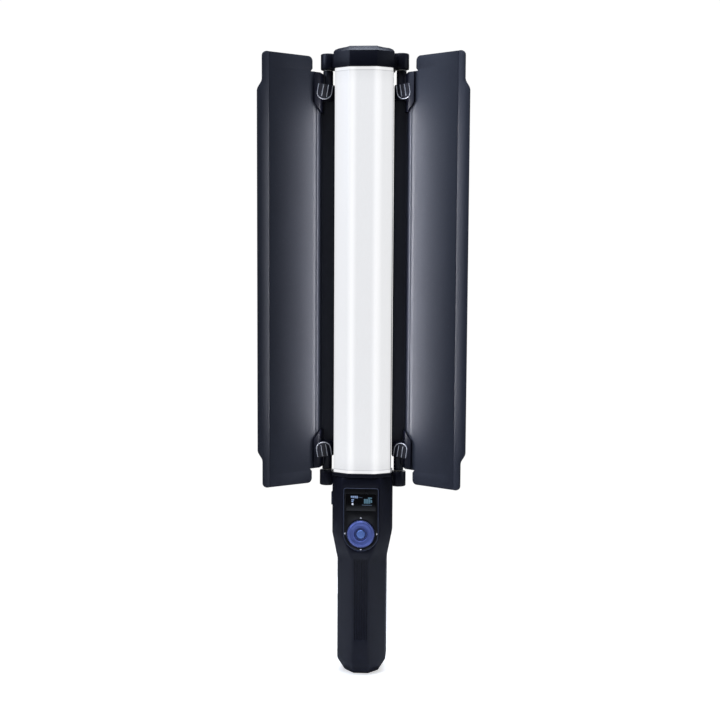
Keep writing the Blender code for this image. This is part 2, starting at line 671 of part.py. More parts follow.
def front_plate_outline(with_lip):
    """Section of the arm's plate in front of the sheet: from the wall to the panel's inner edge.

    With the lip, it starts at the lip's inner end, and its front is straight across the fold to the bend.
    """
    lip_in, lip_out, bend = [Vector(point) for point in door_section()]
    inward = (lip_in - lip_out).normalized()
    outward = (bend - lip_out).normalized()
    run = [lip_out + inward * (LIP_OUT + SADDLE_IN), lip_out] if with_lip else [lip_out + outward * 1 * MM]
    run += [bend, Vector((FRONT_PLATE_OUT, PANEL_OFFSET))]
    near = SHEET / 2 + CLEARANCE
    front = offset_run(run, near + FRONT_PLATE)
    if with_lip:
        del front[1]
    return offset_run(run, near) + front[::-1]


def in_door(side, point, height):
    """A point of the door's section as a place in the hinge's frame."""
    return (side * point[0], -point[1], height)


def hinge_arm(name, side, end, hinge):
    """Moulded arm: the barrel, a bridge to a pad behind the wall, and a plate in front of wall and lip."""
    _, wall_end, along, rear = wall_frame()

    def level(height):
        return HEAD_MIDDLE + end * height

    def span(low, high):
        return sorted((level(low), level(high)))

    def section(points):
        return [(side * u, -v) for u, v in points]

    arm = rods(name, [((0, 0, level(BARREL_BOTTOM)), (0, 0, level(BARREL_TOP)), BARREL_RADIUS)], "shell", hinge, 32)
    start = wall_end - along * 6.4 * MM
    near = SHEET / 2 + CLEARANCE
    far = near + ARM_PAD
    pad = [start + rear * near, wall_end + rear * near, wall_end + rear * far, start + rear * far]
    low, high = span(BARREL_TOP - ARM_PAD_DROP, WALL_HALF_HEIGHT - 0.5 * MM)
    pad_tool = plate(name + "_pad", section([tuple(point) for point in pad]), low, high, parent=hinge)
    bridge = [(0, -2.6 * MM), tuple(pad[3] + along * 0.3 * MM - rear * 0.1 * MM),
              tuple(pad[0] + along * 0.3 * MM + rear * 0.1 * MM), (0, 1.6 * MM)]
    low, high = span(BARREL_BOTTOM + 0.3 * MM, WALL_HALF_HEIGHT - 0.9 * MM)
    bridge_tool = plate(name + "_bridge", section(bridge), low, high, parent=hinge)
    low, high = span(BARREL_BOTTOM - SADDLE_LENGTH, BARREL_BOTTOM + 0.4 * MM)
    saddle_tool = plate(name + "_saddle", section(front_plate_outline(True)), low, high, parent=hinge)
    low, high = span(BARREL_TOP - FRONT_PLATE_DROP, WALL_HALF_HEIGHT - 0.5 * MM)
    front_tool = plate(name + "_front", section(front_plate_outline(False)), low, high, parent=hinge)
    for tool in (pad_tool, bridge_tool, saddle_tool, front_tool):
        boolean(arm, tool, "UNION")
    foot = level(BARREL_TOP - FRONT_PLATE_DROP)
    corner = [(side * (FRONT_PLATE_OUT - FRONT_PLATE_CHAMFER), foot - end * 0.5 * MM),
              (side * (FRONT_PLATE_OUT + 1 * MM), foot - end * 0.5 * MM),
              (side * (FRONT_PLATE_OUT + 1 * MM), foot + end * (FRONT_PLATE_CHAMFER + 1.5 * MM))]
    boolean(arm, front_plate(name + "_chamfer", corner, -PANEL_OFFSET - 12 * MM, -PANEL_OFFSET + 6 * MM, parent=hinge))
    bore_end = BARREL_TOP - PIN_IN_BARREL
    bore = rods(name + "_bore", [((0, 0, level(bore_end)), (0, 0, level(BARREL_TOP + 1 * MM)), PIN_RADIUS + CLEARANCE)],
                parent=hinge, sides=24)
    boolean(arm, bore)
    return arm


def rivet(name, side, end, hinge, panel, arm):
    """A rivet through the wall and the arm's pad, with a head on both faces."""
    _, wall_end, along, rear = wall_frame()
    middle = wall_end - along * 3.4 * MM
    height = HEAD_MIDDLE + end * (BARREL_TOP - RIVET_DROP)
    front_face = middle - rear * (SHEET / 2 + CLEARANCE + FRONT_PLATE + CLEARANCE / 2)
    rear_face = middle + rear * (SHEET / 2 + CLEARANCE + ARM_PAD + CLEARANCE / 2)

    def at(point):
        return in_door(side, point, height)

    shank = rods(name, [(at(front_face), at(rear_face), RIVET_RADIUS)], "steel", hinge, 16)
    for label, face, way in (("front", front_face, -1), ("rear", rear_face, 1)):
        head = rods(name + "_" + label, [(at(face), at(face + rear * way * RIVET_HEAD_THICK), RIVET_HEAD_RADIUS)],
                    parent=hinge, sides=20)
        boolean(shank, head, "UNION")
    hole = rods(name + "_hole", [(at(front_face - rear * 2 * MM), at(rear_face + rear * 2 * MM),
                                  RIVET_RADIUS + CLEARANCE)], parent=hinge, sides=16)
    boolean(panel, hole)
    boolean(arm, hole)


def hinge_pin(name, side, end):
    """Steel pin, fast in the ear, on which the barrel turns with friction from a washer."""
    x = side * HINGE_X

    def level(height):
        return HEAD_MIDDLE + end * height

    rods(name + "_pin", [((x, HINGE_Y, level(BARREL_TOP - PIN_IN_BARREL + CLEARANCE)),
                          (x, HINGE_Y, level(HEAD_HALF + PIN_IN_EAR)), PIN_RADIUS)], "steel", sides=24)
    low, high = sorted((level(WASHER_TOP), level(WASHER_TOP - WASHER_THICK)))
    outer = BARREL_RADIUS - 0.2 * MM
    inner = PIN_RADIUS + CLEARANCE
    turned(name + "_washer", [(outer, high), (outer, low), (inner, low), (inner, high)], "nylon",
           place=(x, HINGE_Y, 0), sides=24)


def barn_doors():
    for word, side, forward in (("left", -1, LEFT_DOOR_FORWARD_DEG), ("right", 1, RIGHT_DOOR_FORWARD_DEG)):
        hinge = empty(word + "_door_axis", (side * HINGE_X, HINGE_Y, 0), -side * math.radians(forward))
        panel = door_panel(word + "_door_panel", side, hinge)
        for place, end in (("upper", 1), ("lower", -1)):
            arm = hinge_arm("%s_%s_hinge_arm" % (word, place), side, end, hinge)
            rivet("%s_%s_rivet" % (word, place), side, end, hinge, panel, arm)
            hinge_pin("%s_%s_hinge" % (word, place), side, end)


# ---------------------------------------------------------------- handle


def handle_ring(height, half_width, front, back, facet, side_front, inset=0.0):
    return octagon(half_width - inset, front - inset, back - inset, facet - inset * 0.3,
                   BACK_FACET * back / HANDLE_BACK - inset * 0.4, side_front - inset * 0.4,
                   SIDE_BACK * back / HANDLE_BACK - inset * 0.4, height)


def handle_rings(inset, low, high):
    """Rings of the handle's outside, or of its inside when an inset is given, from foot to top."""
    taper_top = HANDLE_LENGTH - WIDE_LENGTH
    taper_low = taper_top - TAPER_LENGTH
    step_top = taper_low + FRONT_STEP_LENGTH
    share = FRONT_STEP_LENGTH / TAPER_LENGTH
    step_width = GRIP_HALF_WIDTH + (HANDLE_HALF_WIDTH - GRIP_HALF_WIDTH) * share
    step_facet = GRIP_FACET + (HANDLE_FACET - GRIP_FACET) * share
    foot_share = FOOT_HALF_WIDTH / GRIP_HALF_WIDTH
    foot_front = GRIP_FRONT * 0.78
    rings = [
        handle_ring(low, FOOT_HALF_WIDTH, foot_front, GRIP_BACK * 0.8, GRIP_FACET * 0.9,
                    GRIP_SIDE_FRONT * foot_share, inset),
        handle_ring(FOOT_CHAMFER, GRIP_HALF_WIDTH, GRIP_FRONT, GRIP_BACK, GRIP_FACET, GRIP_SIDE_FRONT, inset),
        handle_ring(taper_low, GRIP_HALF_WIDTH, GRIP_FRONT, GRIP_BACK, GRIP_FACET, GRIP_SIDE_FRONT, inset),
        handle_ring(step_top, step_width, HANDLE_FRONT, GRIP_BACK + (HANDLE_BACK - GRIP_BACK) * share,
                    step_facet, GRIP_SIDE_FRONT, inset),
        handle_ring(taper_top, HANDLE_HALF_WIDTH, HANDLE_FRONT, HANDLE_BACK, HANDLE_FACET, HANDLE_SIDE_FRONT, inset),
        handle_ring(high, HANDLE_HALF_WIDTH, HANDLE_FRONT, HANDLE_BACK, HANDLE_FACET, HANDLE_SIDE_FRONT, inset),
    ]
    return rings


def shield(grow=0.0):
    """The control panel's outline: square at the top and a half round about the dial below."""
    radius = PANEL_RADIUS + grow
    top = PANEL_TOP + grow
    corner = 2.0 * MM
    top_right = arc(radius - corner, top - corner, corner, 0, 90, 4)
    top_left = arc(-radius + corner, top - corner, corner, 90, 180, 4)
    return top_right + top_left + arc(0, DIAL_Z, radius, 180, 360, 28)


def shell_half(name, keep):
    """One half of the handle, hollow, with the other half cut away at the parting plane."""
    half = soften(loft(name, handle_rings(0.0, 0.0, HANDLE_LENGTH), "shell"), HANDLE_EDGE)
    half.modifiers.new("flat_faces", "TRIANGULATE")
    boolean(half, loft(name + "_hollow", handle_rings(HANDLE_WALL, HANDLE_FOOT_WALL,
                                                      HANDLE_LENGTH - HANDLE_TOP_WALL)))
    far = 60 * MM
    part = CLEARANCE / 2
    if keep < 0:
        low, high = (-far, -part, -far), (far, far, HANDLE_LENGTH + far)
    else:
        low, high = (-far, -far, -far), (far, part, HANDLE_LENGTH + far)
    boolean(half, boxes(name + "_other_half", [(low, high)]))
    neck = rods(name + "_neck_hole", [((0, 0, HANDLE_LENGTH - HANDLE_TOP_WALL - 1 * MM), (0, 0, HANDLE_LENGTH + 1 * MM),
                                       NECK_RADIUS + CLEARANCE)])
    foot = rods(name + "_foot_hole", [((0, 0, -1 * MM), (0, 0, HANDLE_FOOT_WALL + 1 * MM), INSERT_RADIUS + CLEARANCE)])
    boolean(half, neck)
    boolean(half, foot)
    return half


def slanted_front(x, height):
    """How far forward the handle's slanted front facet reaches at a distance x from the middle."""
    if height > HANDLE_LENGTH / 2:
        facet, front, half, side = HANDLE_FACET, HANDLE_FRONT, HANDLE_HALF_WIDTH, HANDLE_SIDE_FRONT
    else:
        facet, front, half, side = GRIP_FACET, GRIP_FRONT, GRIP_HALF_WIDTH, GRIP_SIDE_FRONT
    return front - (front - side) * (x - facet) / (half - facet)


def screw_places():
    return [(word + "_" + place, side * x, z) for word, side in (("left", -1), ("right", 1))
            for place, (x, z) in (("upper", TOP_SCREW), ("lower", LOW_SCREW))]


def handle_front_shell():
    """Front half: flutes on the grip, a seat for the control panel, and holes for button and port."""
    shell = shell_half("handle_front_shell", -1)
    seat_depth = PANEL_THICK + CLEARANCE
    boolean(shell, front_plate("panel_seat", shield(CLEARANCE), PANEL_FRONT - 3 * MM, PANEL_FRONT + seat_depth))
    boolean(shell, front_plate("panel_well", shield(-PANEL_LEDGE), PANEL_FRONT - 1 * MM, PANEL_FRONT + 8 * MM))
    pitch = 2 * GRIP_FACET / (FLUTE_COUNT + 1)
    top = HANDLE_LENGTH - WIDE_LENGTH - TAPER_LENGTH + FRONT_STEP_LENGTH * 0.3
    flutes = []
    for i in range(FLUTE_COUNT):
        x = -GRIP_FACET + pitch * (i + 1)
        flutes.append(((x - FLUTE_WIDTH / 2, -GRIP_FRONT - 4 * MM, FLUTE_LOW),
                       (x + FLUTE_WIDTH / 2, -GRIP_FRONT + FLUTE_DEPTH, top)))
    boolean(shell, boxes("flutes", flutes))
    wall = HANDLE_HALF_WIDTH
    half_y = POWER_WIDTH / 2 + CLEARANCE
    half_z = POWER_LENGTH / 2 + CLEARANCE
    boolean(shell, boxes("power_hole", [((-wall - 2 * MM, POWER_Y - half_y, POWER_Z - half_z),
                                         (-wall + HANDLE_WALL + 2 * MM, POWER_Y + half_y, POWER_Z + half_z))]))
    grip = GRIP_HALF_WIDTH
    low_y = PORT_Y - PORT_WIDTH / 2 - CLEARANCE
    high_y = PORT_Y + PORT_WIDTH / 2 + PORT_FLAP + 2 * CLEARANCE
    half_z = PORT_LENGTH / 2 + CLEARANCE
    boolean(shell, boxes("port_recess", [((-grip - 2 * MM, low_y, PORT_HEIGHT - half_z),
                                          (-grip + PORT_RECESS, high_y, PORT_HEIGHT + half_z))]))
    boolean(shell, boxes("port_hole", [((-grip, PORT_Y - 2.0 * MM, PORT_HEIGHT - 4.9 * MM),
                                        (-grip + HANDLE_WALL + 2 * MM, PORT_Y + 2.0 * MM, PORT_HEIGHT + 4.9 * MM))]))
    for label, x, z in screw_places():
        start = -slanted_front(abs(x) + BOSS_RADIUS, z) + 0.8 * MM
        boolean(shell, rods("front_boss_" + label, [((x, start, z), (x, -CLEARANCE / 2, z), BOSS_RADIUS)],
                            sides=24), "UNION")
        boolean(shell, rods("front_boss_hole_" + label, [((x, -9 * MM, z), (x, 1 * MM, z), SCREW_RADIUS + CLEARANCE)],
                            sides=16))
    return shell


def handle_rear_shell():
    """Rear half: four bosses that its screws pass through, with their heads sunk in the back."""
    shell = shell_half("handle_rear_shell", 1)
    for label, x, z in screw_places():
        back = GRIP_BACK if z < HANDLE_LENGTH / 2 else HANDLE_BACK
        seat = back - 4.6 * MM
        boolean(shell, rods("rear_boss_" + label, [((x, CLEARANCE / 2, z), (x, back - 3.5 * MM, z), BOSS_RADIUS)],
                            sides=24), "UNION")
        boolean(shell, rods("rear_boss_hole_" + label, [((x, -1 * MM, z), (x, back + 1 * MM, z),
                                                         SCREW_RADIUS + CLEARANCE)], sides=16))
        boolean(shell, rods("rear_head_hole_" + label, [((x, seat, z), (x, back + 4 * MM, z),
                                                         SCREW_HEAD_RADIUS + CLEARANCE)], sides=24))
        screw("handle_screw_" + label, (x, seat + CLEARANCE, z), (0, 1, 0), seat + 7.5 * MM)
    return shell


def control_panel():
    """Thin shield-shaped plate with a window opening and a round hole for the dial."""
    panel = front_plate("control_panel", shield(), PANEL_FRONT, PANEL_FRONT + PANEL_THICK, "shell")
    top = PANEL_TOP - WINDOW_BELOW_PANEL_TOP
    low = top - WINDOW_HEIGHT
    opening = [((-WINDOW_HALF_WIDTH, PANEL_FRONT - 1 * MM, low), (WINDOW_HALF_WIDTH, PANEL_FRONT + 3 * MM, top))]
    boolean(panel, boxes("window_opening", opening))
    boolean(panel, rods("dial_opening", [((0, PANEL_FRONT - 1 * MM, DIAL_Z), (0, PANEL_FRONT + 3 * MM, DIAL_Z),
                                          DIAL_RADIUS + 0.6 * MM)], sides=48))
    edge = CLEARANCE
    boxes("display_window", [((-WINDOW_HALF_WIDTH + edge, PANEL_FRONT + 0.1 * MM, low + edge),
                              (WINDOW_HALF_WIDTH - edge, PANEL_FRONT + PANEL_THICK, top - edge))], "glass")
    back = PANEL_FRONT + PANEL_THICK + 2 * CLEARANCE
    boxes("display_module", [((-WINDOW_HALF_WIDTH + 1.4 * MM, back, low + 1 * MM),
                              (WINDOW_HALF_WIDTH - 1.4 * MM, back + 2.6 * MM, top - 1 * MM))], "board")


def control_board():
    """The circuit board behind the panel, with the base that holds the dial's gimbal."""
    half = PANEL_RADIUS - PANEL_LEDGE - 0.6 * MM
    boxes("control_board", [((-half, BOARD_Y, DIAL_Z - half - 2 * MM),
                             (half, BOARD_Y + BOARD_THICK, PANEL_TOP - 1 * MM))], "green")
    rear = BOARD_Y - CLEARANCE
    reach = POST_X + 1.1 * MM
    base = boxes("nav_switch_base", [((-reach, SWITCH_FRONT, DIAL_Z - 6 * MM), (reach, rear, DIAL_Z + 6 * MM))], "nylon")
    posts = []
    for side in (-1, 1):
        ends = sorted((side * (POST_X - 0.9 * MM), side * reach))
        posts.append(((ends[0], GIMBAL_FRONT - 0.2 * MM, DIAL_Z - 2.2 * MM),
                      (ends[1], SWITCH_FRONT + 0.5 * MM, DIAL_Z + 2.2 * MM)))
    boolean(base, boxes("gimbal_posts", posts), "UNION")
    boolean(base, rods("post_holes", [((-POST_X - 3 * MM, GIMBAL_Y, DIAL_Z), (POST_X + 3 * MM, GIMBAL_Y, DIAL_Z),
                                       TRUNNION_RADIUS + CLEARANCE)], sides=16))


def nav_gimbal():
    """Ring that rocks up and down on two side pins and carries the dial's carrier on two bearings."""
    low, high = -GIMBAL_REAR, -GIMBAL_FRONT
    ring = turned("nav_gimbal", [(GIMBAL_OUTER, high), (GIMBAL_OUTER, low), (GIMBAL_INNER, low), (GIMBAL_INNER, high)],
                  "nylon", "Y", (0, 0, DIAL_Z), 32)
    middle = (GIMBAL_INNER + GIMBAL_OUTER) / 2
    pins = rods("gimbal_pins", [((side * middle, GIMBAL_Y, DIAL_Z), (side * (POST_X + 0.9 * MM), GIMBAL_Y, DIAL_Z),
                                 TRUNNION_RADIUS) for side in (-1, 1)], sides=16)
    boolean(ring, pins, "UNION")
    boolean(ring, rods("gimbal_bearings", [((0, GIMBAL_Y, DIAL_Z - GIMBAL_OUTER - 2 * MM),
                                            (0, GIMBAL_Y, DIAL_Z + GIMBAL_OUTER + 2 * MM),
                                            TRUNNION_RADIUS + CLEARANCE)], sides=16))


def nav_carrier():
    """Disc and tube that the dial turns on, rocking left and right in the gimbal."""
    front = -(DIAL_FRONT + 1.2 * MM)
    disc_front, disc_rear = -CARRIER_FRONT, -CARRIER_REAR
    tail = -(GIMBAL_REAR + 0.5 * MM)
    profile = [(TUBE_OUTER, front), (TUBE_OUTER, disc_front), (CARRIER_RADIUS, disc_front),
               (CARRIER_RADIUS, disc_rear), (TUBE_OUTER, disc_rear), (TUBE_OUTER, tail),
               (TUBE_INNER, tail), (TUBE_INNER, front)]
    carrier = turned("nav_carrier", profile, "nylon", "Y", (0, 0, DIAL_Z), 40)
    inner = (TUBE_INNER + TUBE_OUTER) / 2
    pins = rods("carrier_pins", [((0, GIMBAL_Y, DIAL_Z + way * inner),
                                  (0, GIMBAL_Y, DIAL_Z + way * (GIMBAL_OUTER - 0.4 * MM)), TRUNNION_RADIUS)
                                 for way in (-1, 1)], sides=16)
    boolean(carrier, pins, "UNION")


def dial_wheel():
    """Turned dial with a stepped rim, a shallow groove and a bore that runs on the carrier's tube."""
    bore = TUBE_OUTER + CLEARANCE
    front, rear = -DIAL_FRONT, -DIAL_REAR
    step = 0.5 * MM
    profile = [(DIAL_RADIUS - 2.2 * MM, front), (DIAL_RADIUS - 0.9 * MM, front - step),
               (DIAL_RADIUS, front - 1.3 * MM), (DIAL_RADIUS, rear), (bore, rear), (bore, front - step),
               (bore + 0.7 * MM, front - step), (bore + 1.1 * MM, front)]
    turned("dial_wheel", profile, "dial", "Y", (0, 0, DIAL_Z), 72)
    head = BUTTON_RADIUS
    crown = -(DIAL_FRONT - 0.1 * MM)
    tail = -(GIMBAL_REAR + 0.1 * MM)
    turned("confirm_button", [(0, crown), (head - 0.6 * MM, crown - 0.1 * MM), (head, crown - 0.6 * MM), (head, tail),
                              (0, tail)], "button", "Y", (0, 0, DIAL_Z), 40)


def power_button():
    """Side key with a flange behind the wall, and the small switch that it presses."""
    wall = HANDLE_HALF_WIDTH
    inside = -wall + HANDLE_WALL + 0.6 * MM
    half_y = POWER_WIDTH / 2
    half_z = POWER_LENGTH / 2
    key = boxes("power_button", [((-wall - POWER_PROUD, POWER_Y - half_y, POWER_Z - half_z),
                                  (inside + 0.5 * MM, POWER_Y + half_y, POWER_Z + half_z))], "button")
    soften(key, 0.4 * MM)
    flange = boxes("power_flange", [((inside, POWER_Y - half_y - 0.8 * MM, POWER_Z - half_z - 1 * MM),
                                     (inside + 1 * MM, POWER_Y + half_y + 0.8 * MM, POWER_Z + half_z + 1 * MM))])
    boolean(key, flange, "UNION")
    front = inside + 1 * MM + POWER_TRAVEL + CLEARANCE
    boxes("power_switch", [((front, POWER_Y - half_y, POWER_Z - 3 * MM),
                            (front + 3.6 * MM, POWER_Y + half_y, POWER_Z + 3 * MM))], "nylon")


def charging_port():
    """The socket on its small board, behind a rubber flap that is hinged along its rear edge."""
    grip = GRIP_HALF_WIDTH
    mouth = -grip + PORT_RECESS + CLEARANCE
    socket = boxes("usb_socket", [((mouth, PORT_Y - 1.6 * MM, PORT_HEIGHT - 4.5 * MM),
                                   (mouth + 7 * MM, PORT_Y + 1.6 * MM, PORT_HEIGHT + 4.5 * MM))], "steel")
    boolean(socket, boxes("usb_mouth", [((mouth - 1 * MM, PORT_Y - 1.2 * MM, PORT_HEIGHT - 4.1 * MM),
                                         (mouth + 5.5 * MM, PORT_Y + 1.2 * MM, PORT_HEIGHT + 4.1 * MM))]))
    board_low = PORT_Y + 1.6 * MM + CLEARANCE
    inner = -grip + HANDLE_WALL + CLEARANCE
    boxes("charge_board", [((inner, board_low, PORT_HEIGHT - 12 * MM),
                            (inner + 7.4 * MM, board_low + 1.2 * MM, PORT_HEIGHT + 12 * MM))], "green")
    face = -grip + PORT_SUNK
    axis = (face, PORT_Y + PORT_WIDTH / 2, PORT_HEIGHT)
    hinge = empty("port_cover_axis", axis)
    boxes("port_cover", [((0, -PORT_WIDTH, -PORT_LENGTH / 2), (PORT_FLAP, 0, PORT_LENGTH / 2))], "rubber", hinge)


def battery():
    """Two cells end to end in a trough, and the brass socket for a tripod in the foot."""
    top = CELL_FOOT + 2 * CELL_LENGTH + CELL_GAP
    for name, low in (("battery_cell_lower", CELL_FOOT), ("battery_cell_upper", CELL_FOOT + CELL_LENGTH + CELL_GAP)):
        high = low + CELL_LENGTH
        tip = 3.0 * MM
        turned(name, [(0, high), (tip, high), (tip, high - 1 * MM), (CELL_RADIUS, high - 1 * MM), (CELL_RADIUS, low),
                      (0, low)], "cell", place=(0, CELL_Y, 0), sides=32)
    floor = GRIP_BACK - HANDLE_WALL - CLEARANCE
    half = CELL_RADIUS + 1.2 * MM
    cradle = boxes("battery_cradle", [((-half, CELL_Y + 2.4 * MM, CELL_FOOT - 0.4 * MM), (half, floor, top + 0.4 * MM))],
                   "nylon")
    boolean(cradle, rods("cell_space", [((0, CELL_Y, CELL_FOOT - 5 * MM), (0, CELL_Y, top + 5 * MM),
                                         CELL_RADIUS + CLEARANCE)], sides=32))
    flange = HANDLE_FOOT_WALL + CLEARANCE
    body = INSERT_RADIUS
    profile = [(0, SOCKET_DEPTH + 2.2 * MM), (body, SOCKET_DEPTH + 2.2 * MM), (body, flange + 2 * MM),
               (body + 2 * MM, flange + 2 * MM), (body + 2 * MM, flange), (body, flange), (body, CLEARANCE),
               (SOCKET_RADIUS, CLEARANCE), (SOCKET_RADIUS, SOCKET_DEPTH), (0, SOCKET_DEPTH)]
    turned("tripod_insert", profile, "brass", sides=40)


def led_lead():
    """The lead from the lamp board down through the neck to the control board."""
    neck = COLLAR_TOP
    board = BOARD_Y + BOARD_THICK + 0.4 * MM
    top = CELL_FOOT + 2 * CELL_LENGTH + CELL_GAP
    route = [(0, 7.0 * MM, neck + 9 * MM), (0, 5.5 * MM, neck + 6 * MM), (0, 2.5 * MM, neck + 2 * MM),
             (0, 0.5 * MM, neck - 3 * MM), (0, -0.3 * MM, neck - 8 * MM), (0, -1.5 * MM, top + 5.5 * MM),
             (0, -4.0 * MM, top + 3.2 * MM), (0, board + 1.4 * MM, top + 2.6 * MM)]
    curve = bpy.data.curves.new("led_lead", "CURVE")
    curve.dimensions = "3D"
    curve.bevel_depth = 1.1 * MM
    curve.bevel_resolution = 2
    curve.use_fill_caps = True
    spline = curve.splines.new("POLY")
    spline.points.add(len(route) - 1)
    for point, place in zip(spline.points, route):
        point.co = (*place, 1.0)
    made = bpy.data.objects.new("led_lead", curve)
    curve.materials.append(paint("led_lead", "rubber"))
    PIECES.objects.link(made)


clear_scene()
PIECES = new_collection("led_light_wand")
TOOLS = new_collection("cutters")

rear_housing()
diffuser()
lamp()
top_cap()
lower_collar()
barn_doors()
handle_front_shell()
handle_rear_shell()
control_panel()
control_board()
nav_gimbal()
nav_carrier()
dial_wheel()
power_button()
charging_port()
battery()
led_lead()
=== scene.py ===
"""The looks of a hand-held LED light wand with two barn doors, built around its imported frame."""

import json
import math

import bmesh
import bpy
from mathutils import Matrix, Vector

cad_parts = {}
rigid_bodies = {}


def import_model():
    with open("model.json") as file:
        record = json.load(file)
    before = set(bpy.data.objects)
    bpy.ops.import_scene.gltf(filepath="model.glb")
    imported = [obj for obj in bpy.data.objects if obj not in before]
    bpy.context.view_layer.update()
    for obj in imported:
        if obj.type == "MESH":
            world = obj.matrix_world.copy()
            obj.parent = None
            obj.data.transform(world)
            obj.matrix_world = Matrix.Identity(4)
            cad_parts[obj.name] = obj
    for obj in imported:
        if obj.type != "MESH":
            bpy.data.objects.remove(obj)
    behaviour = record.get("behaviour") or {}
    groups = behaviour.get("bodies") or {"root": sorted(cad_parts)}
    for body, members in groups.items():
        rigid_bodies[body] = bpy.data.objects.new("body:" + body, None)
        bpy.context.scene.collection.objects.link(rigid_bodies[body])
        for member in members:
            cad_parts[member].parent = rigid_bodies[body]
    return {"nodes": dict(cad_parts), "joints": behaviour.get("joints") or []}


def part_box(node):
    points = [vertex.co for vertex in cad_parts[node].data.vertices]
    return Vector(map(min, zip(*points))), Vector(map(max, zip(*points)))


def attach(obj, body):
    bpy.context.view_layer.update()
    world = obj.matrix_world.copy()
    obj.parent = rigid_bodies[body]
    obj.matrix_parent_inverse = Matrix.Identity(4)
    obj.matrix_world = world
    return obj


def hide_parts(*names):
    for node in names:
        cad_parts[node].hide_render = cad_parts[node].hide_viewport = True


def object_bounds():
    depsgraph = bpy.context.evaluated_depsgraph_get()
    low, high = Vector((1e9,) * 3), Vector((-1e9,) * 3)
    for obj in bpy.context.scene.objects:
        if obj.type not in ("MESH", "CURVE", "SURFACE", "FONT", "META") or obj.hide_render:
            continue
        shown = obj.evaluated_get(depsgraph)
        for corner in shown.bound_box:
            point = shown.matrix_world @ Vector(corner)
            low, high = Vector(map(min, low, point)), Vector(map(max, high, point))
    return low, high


for item in list(bpy.data.objects):
    bpy.data.objects.remove(item, do_unlink=True)
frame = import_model()
cad_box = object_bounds()


# ---------------------------------------------------------------- rear housing
# The wand's spine is a black anodised aluminium extrusion with cooling fins down its back. The lamp
# board lies on its floor, and the die leaves fine lines along its whole length.

MM = 0.001


def ink(red, green, blue):
    """A display colour, from 0 to 255 a channel, as the linear colour that a socket takes."""
    def linear(level):
        share = level / 255
        return share / 12.92 if share <= 0.04045 else ((share + 0.055) / 1.055) ** 2.4
    return (linear(red), linear(green), linear(blue), 1.0)


class Value:
    """A socket of a node tree. Arithmetic on it adds Math nodes to its tree."""

    def __init__(self, graph, socket):
        self.graph = graph
        self.socket = socket

    def maths(self, operation, first, second=0.0):
        return self.graph.node("ShaderNodeMath", {"operation": operation}, {0: first, 1: second})

    def __add__(self, other):
        return self.maths("ADD", self, other)

    def __sub__(self, other):
        return self.maths("SUBTRACT", self, other)

    def __rsub__(self, other):
        return self.maths("SUBTRACT", other, self)

    def __mul__(self, other):
        return self.maths("MULTIPLY", self, other)

    def __pow__(self, other):
        return self.maths("POWER", self, other)

    def __abs__(self):
        return self.maths("ABSOLUTE", self)

    def sine(self):
        return self.maths("SINE", self)

    __radd__ = __add__
    __rmul__ = __mul__


class Graph:
    """A node tree, of a material or of a mesh, to which nodes are added one call at a time."""

    def __init__(self, tree):
        self.tree = tree

    def node(self, kind, settings, inputs, output=0):
        """Adds a node: its settings first, then its sockets' values or links. Gives back one output."""
        made = self.tree.nodes.new(kind)
        for label, value in settings.items():
            setattr(made, label, value)
        for label, value in inputs.items():
            if isinstance(value, Value):
                self.tree.links.new(value.socket, made.inputs[label])
            else:
                made.inputs[label].default_value = value
        return None if output is None else Value(self, made.outputs[output])

    def vector(self, x=0.0, y=0.0, z=0.0):
        return self.node("ShaderNodeCombineXYZ", {}, {0: x, 1: y, 2: z})

    def on_points(self, points, piece, **more):
        """A copy of a piece at each point."""
        return self.node("GeometryNodeInstanceOnPoints", {}, {"Points": points, "Instance": piece} | more)


class Finish(Graph):
    """A material. What is the same all over goes straight on its shader's sockets."""

    def __init__(self, name, fixed):
        self.material = bpy.data.materials.new(name)
        self.material.use_nodes = True
        super().__init__(self.material.node_tree)
        self.shader = self.tree.nodes["Principled BSDF"]
        for label, value in fixed.items():
            self.shader.inputs[label].default_value = value

    def feed(self, label, value):
        self.tree.links.new(value.socket, self.shader.inputs[label])

    def place(self, stretch=(1, 1, 1), centre=(0, 0, 0)):
        """Object coordinates from a centre, stretched."""
        where = self.node("ShaderNodeTexCoord", {}, {}, "Object")
        moved = self.node("ShaderNodeVectorMath", {"operation": "SUBTRACT"}, {0: where, 1: centre})
        return self.node("ShaderNodeVectorMath", {"operation": "MULTIPLY"}, {0: moved, 1: stretch})

    def axes(self, where):
        """The three numbers of a vector."""
        return [self.node("ShaderNodeSeparateXYZ", {}, {0: where}, i) for i in range(3)]

    def noise(self, size, stretch=(1, 1, 1), detail=3.0):
        """A cloudy value about 0.5, whose blotches measure about size across."""
        return self.node("ShaderNodeTexNoise", {}, {
            "Vector": self.place(stretch), "Scale": 1 / size, "Detail": detail})

    def rise(self, value, low, high):
        """0 below low, 1 above high, and smooth between."""
        return self.node("ShaderNodeMapRange", {"interpolation_type": "SMOOTHSTEP"},
                         {"Value": value, "From Min": low, "From Max": high})

    def blend(self, share, first, second):
        """A colour between two others."""
        return self.node("ShaderNodeMix", {"data_type": "RGBA"}, {0: share, 6: first, 7: second}, 2)

    def relief(self, height, depth):
        """Bumps as deep as depth where height runs from 0 to 1."""
        self.feed("Normal", self.node("ShaderNodeBump", {}, {"Height": height, "Distance": depth}))


def dress(names, finish):
    """Gives CAD nodes a finish."""
    for name in names:
        node = frame["nodes"][name]
        if not node.material_slots:
            node.data.materials.append(finish.material)
        for slot in node.material_slots:
            slot.material = finish.material


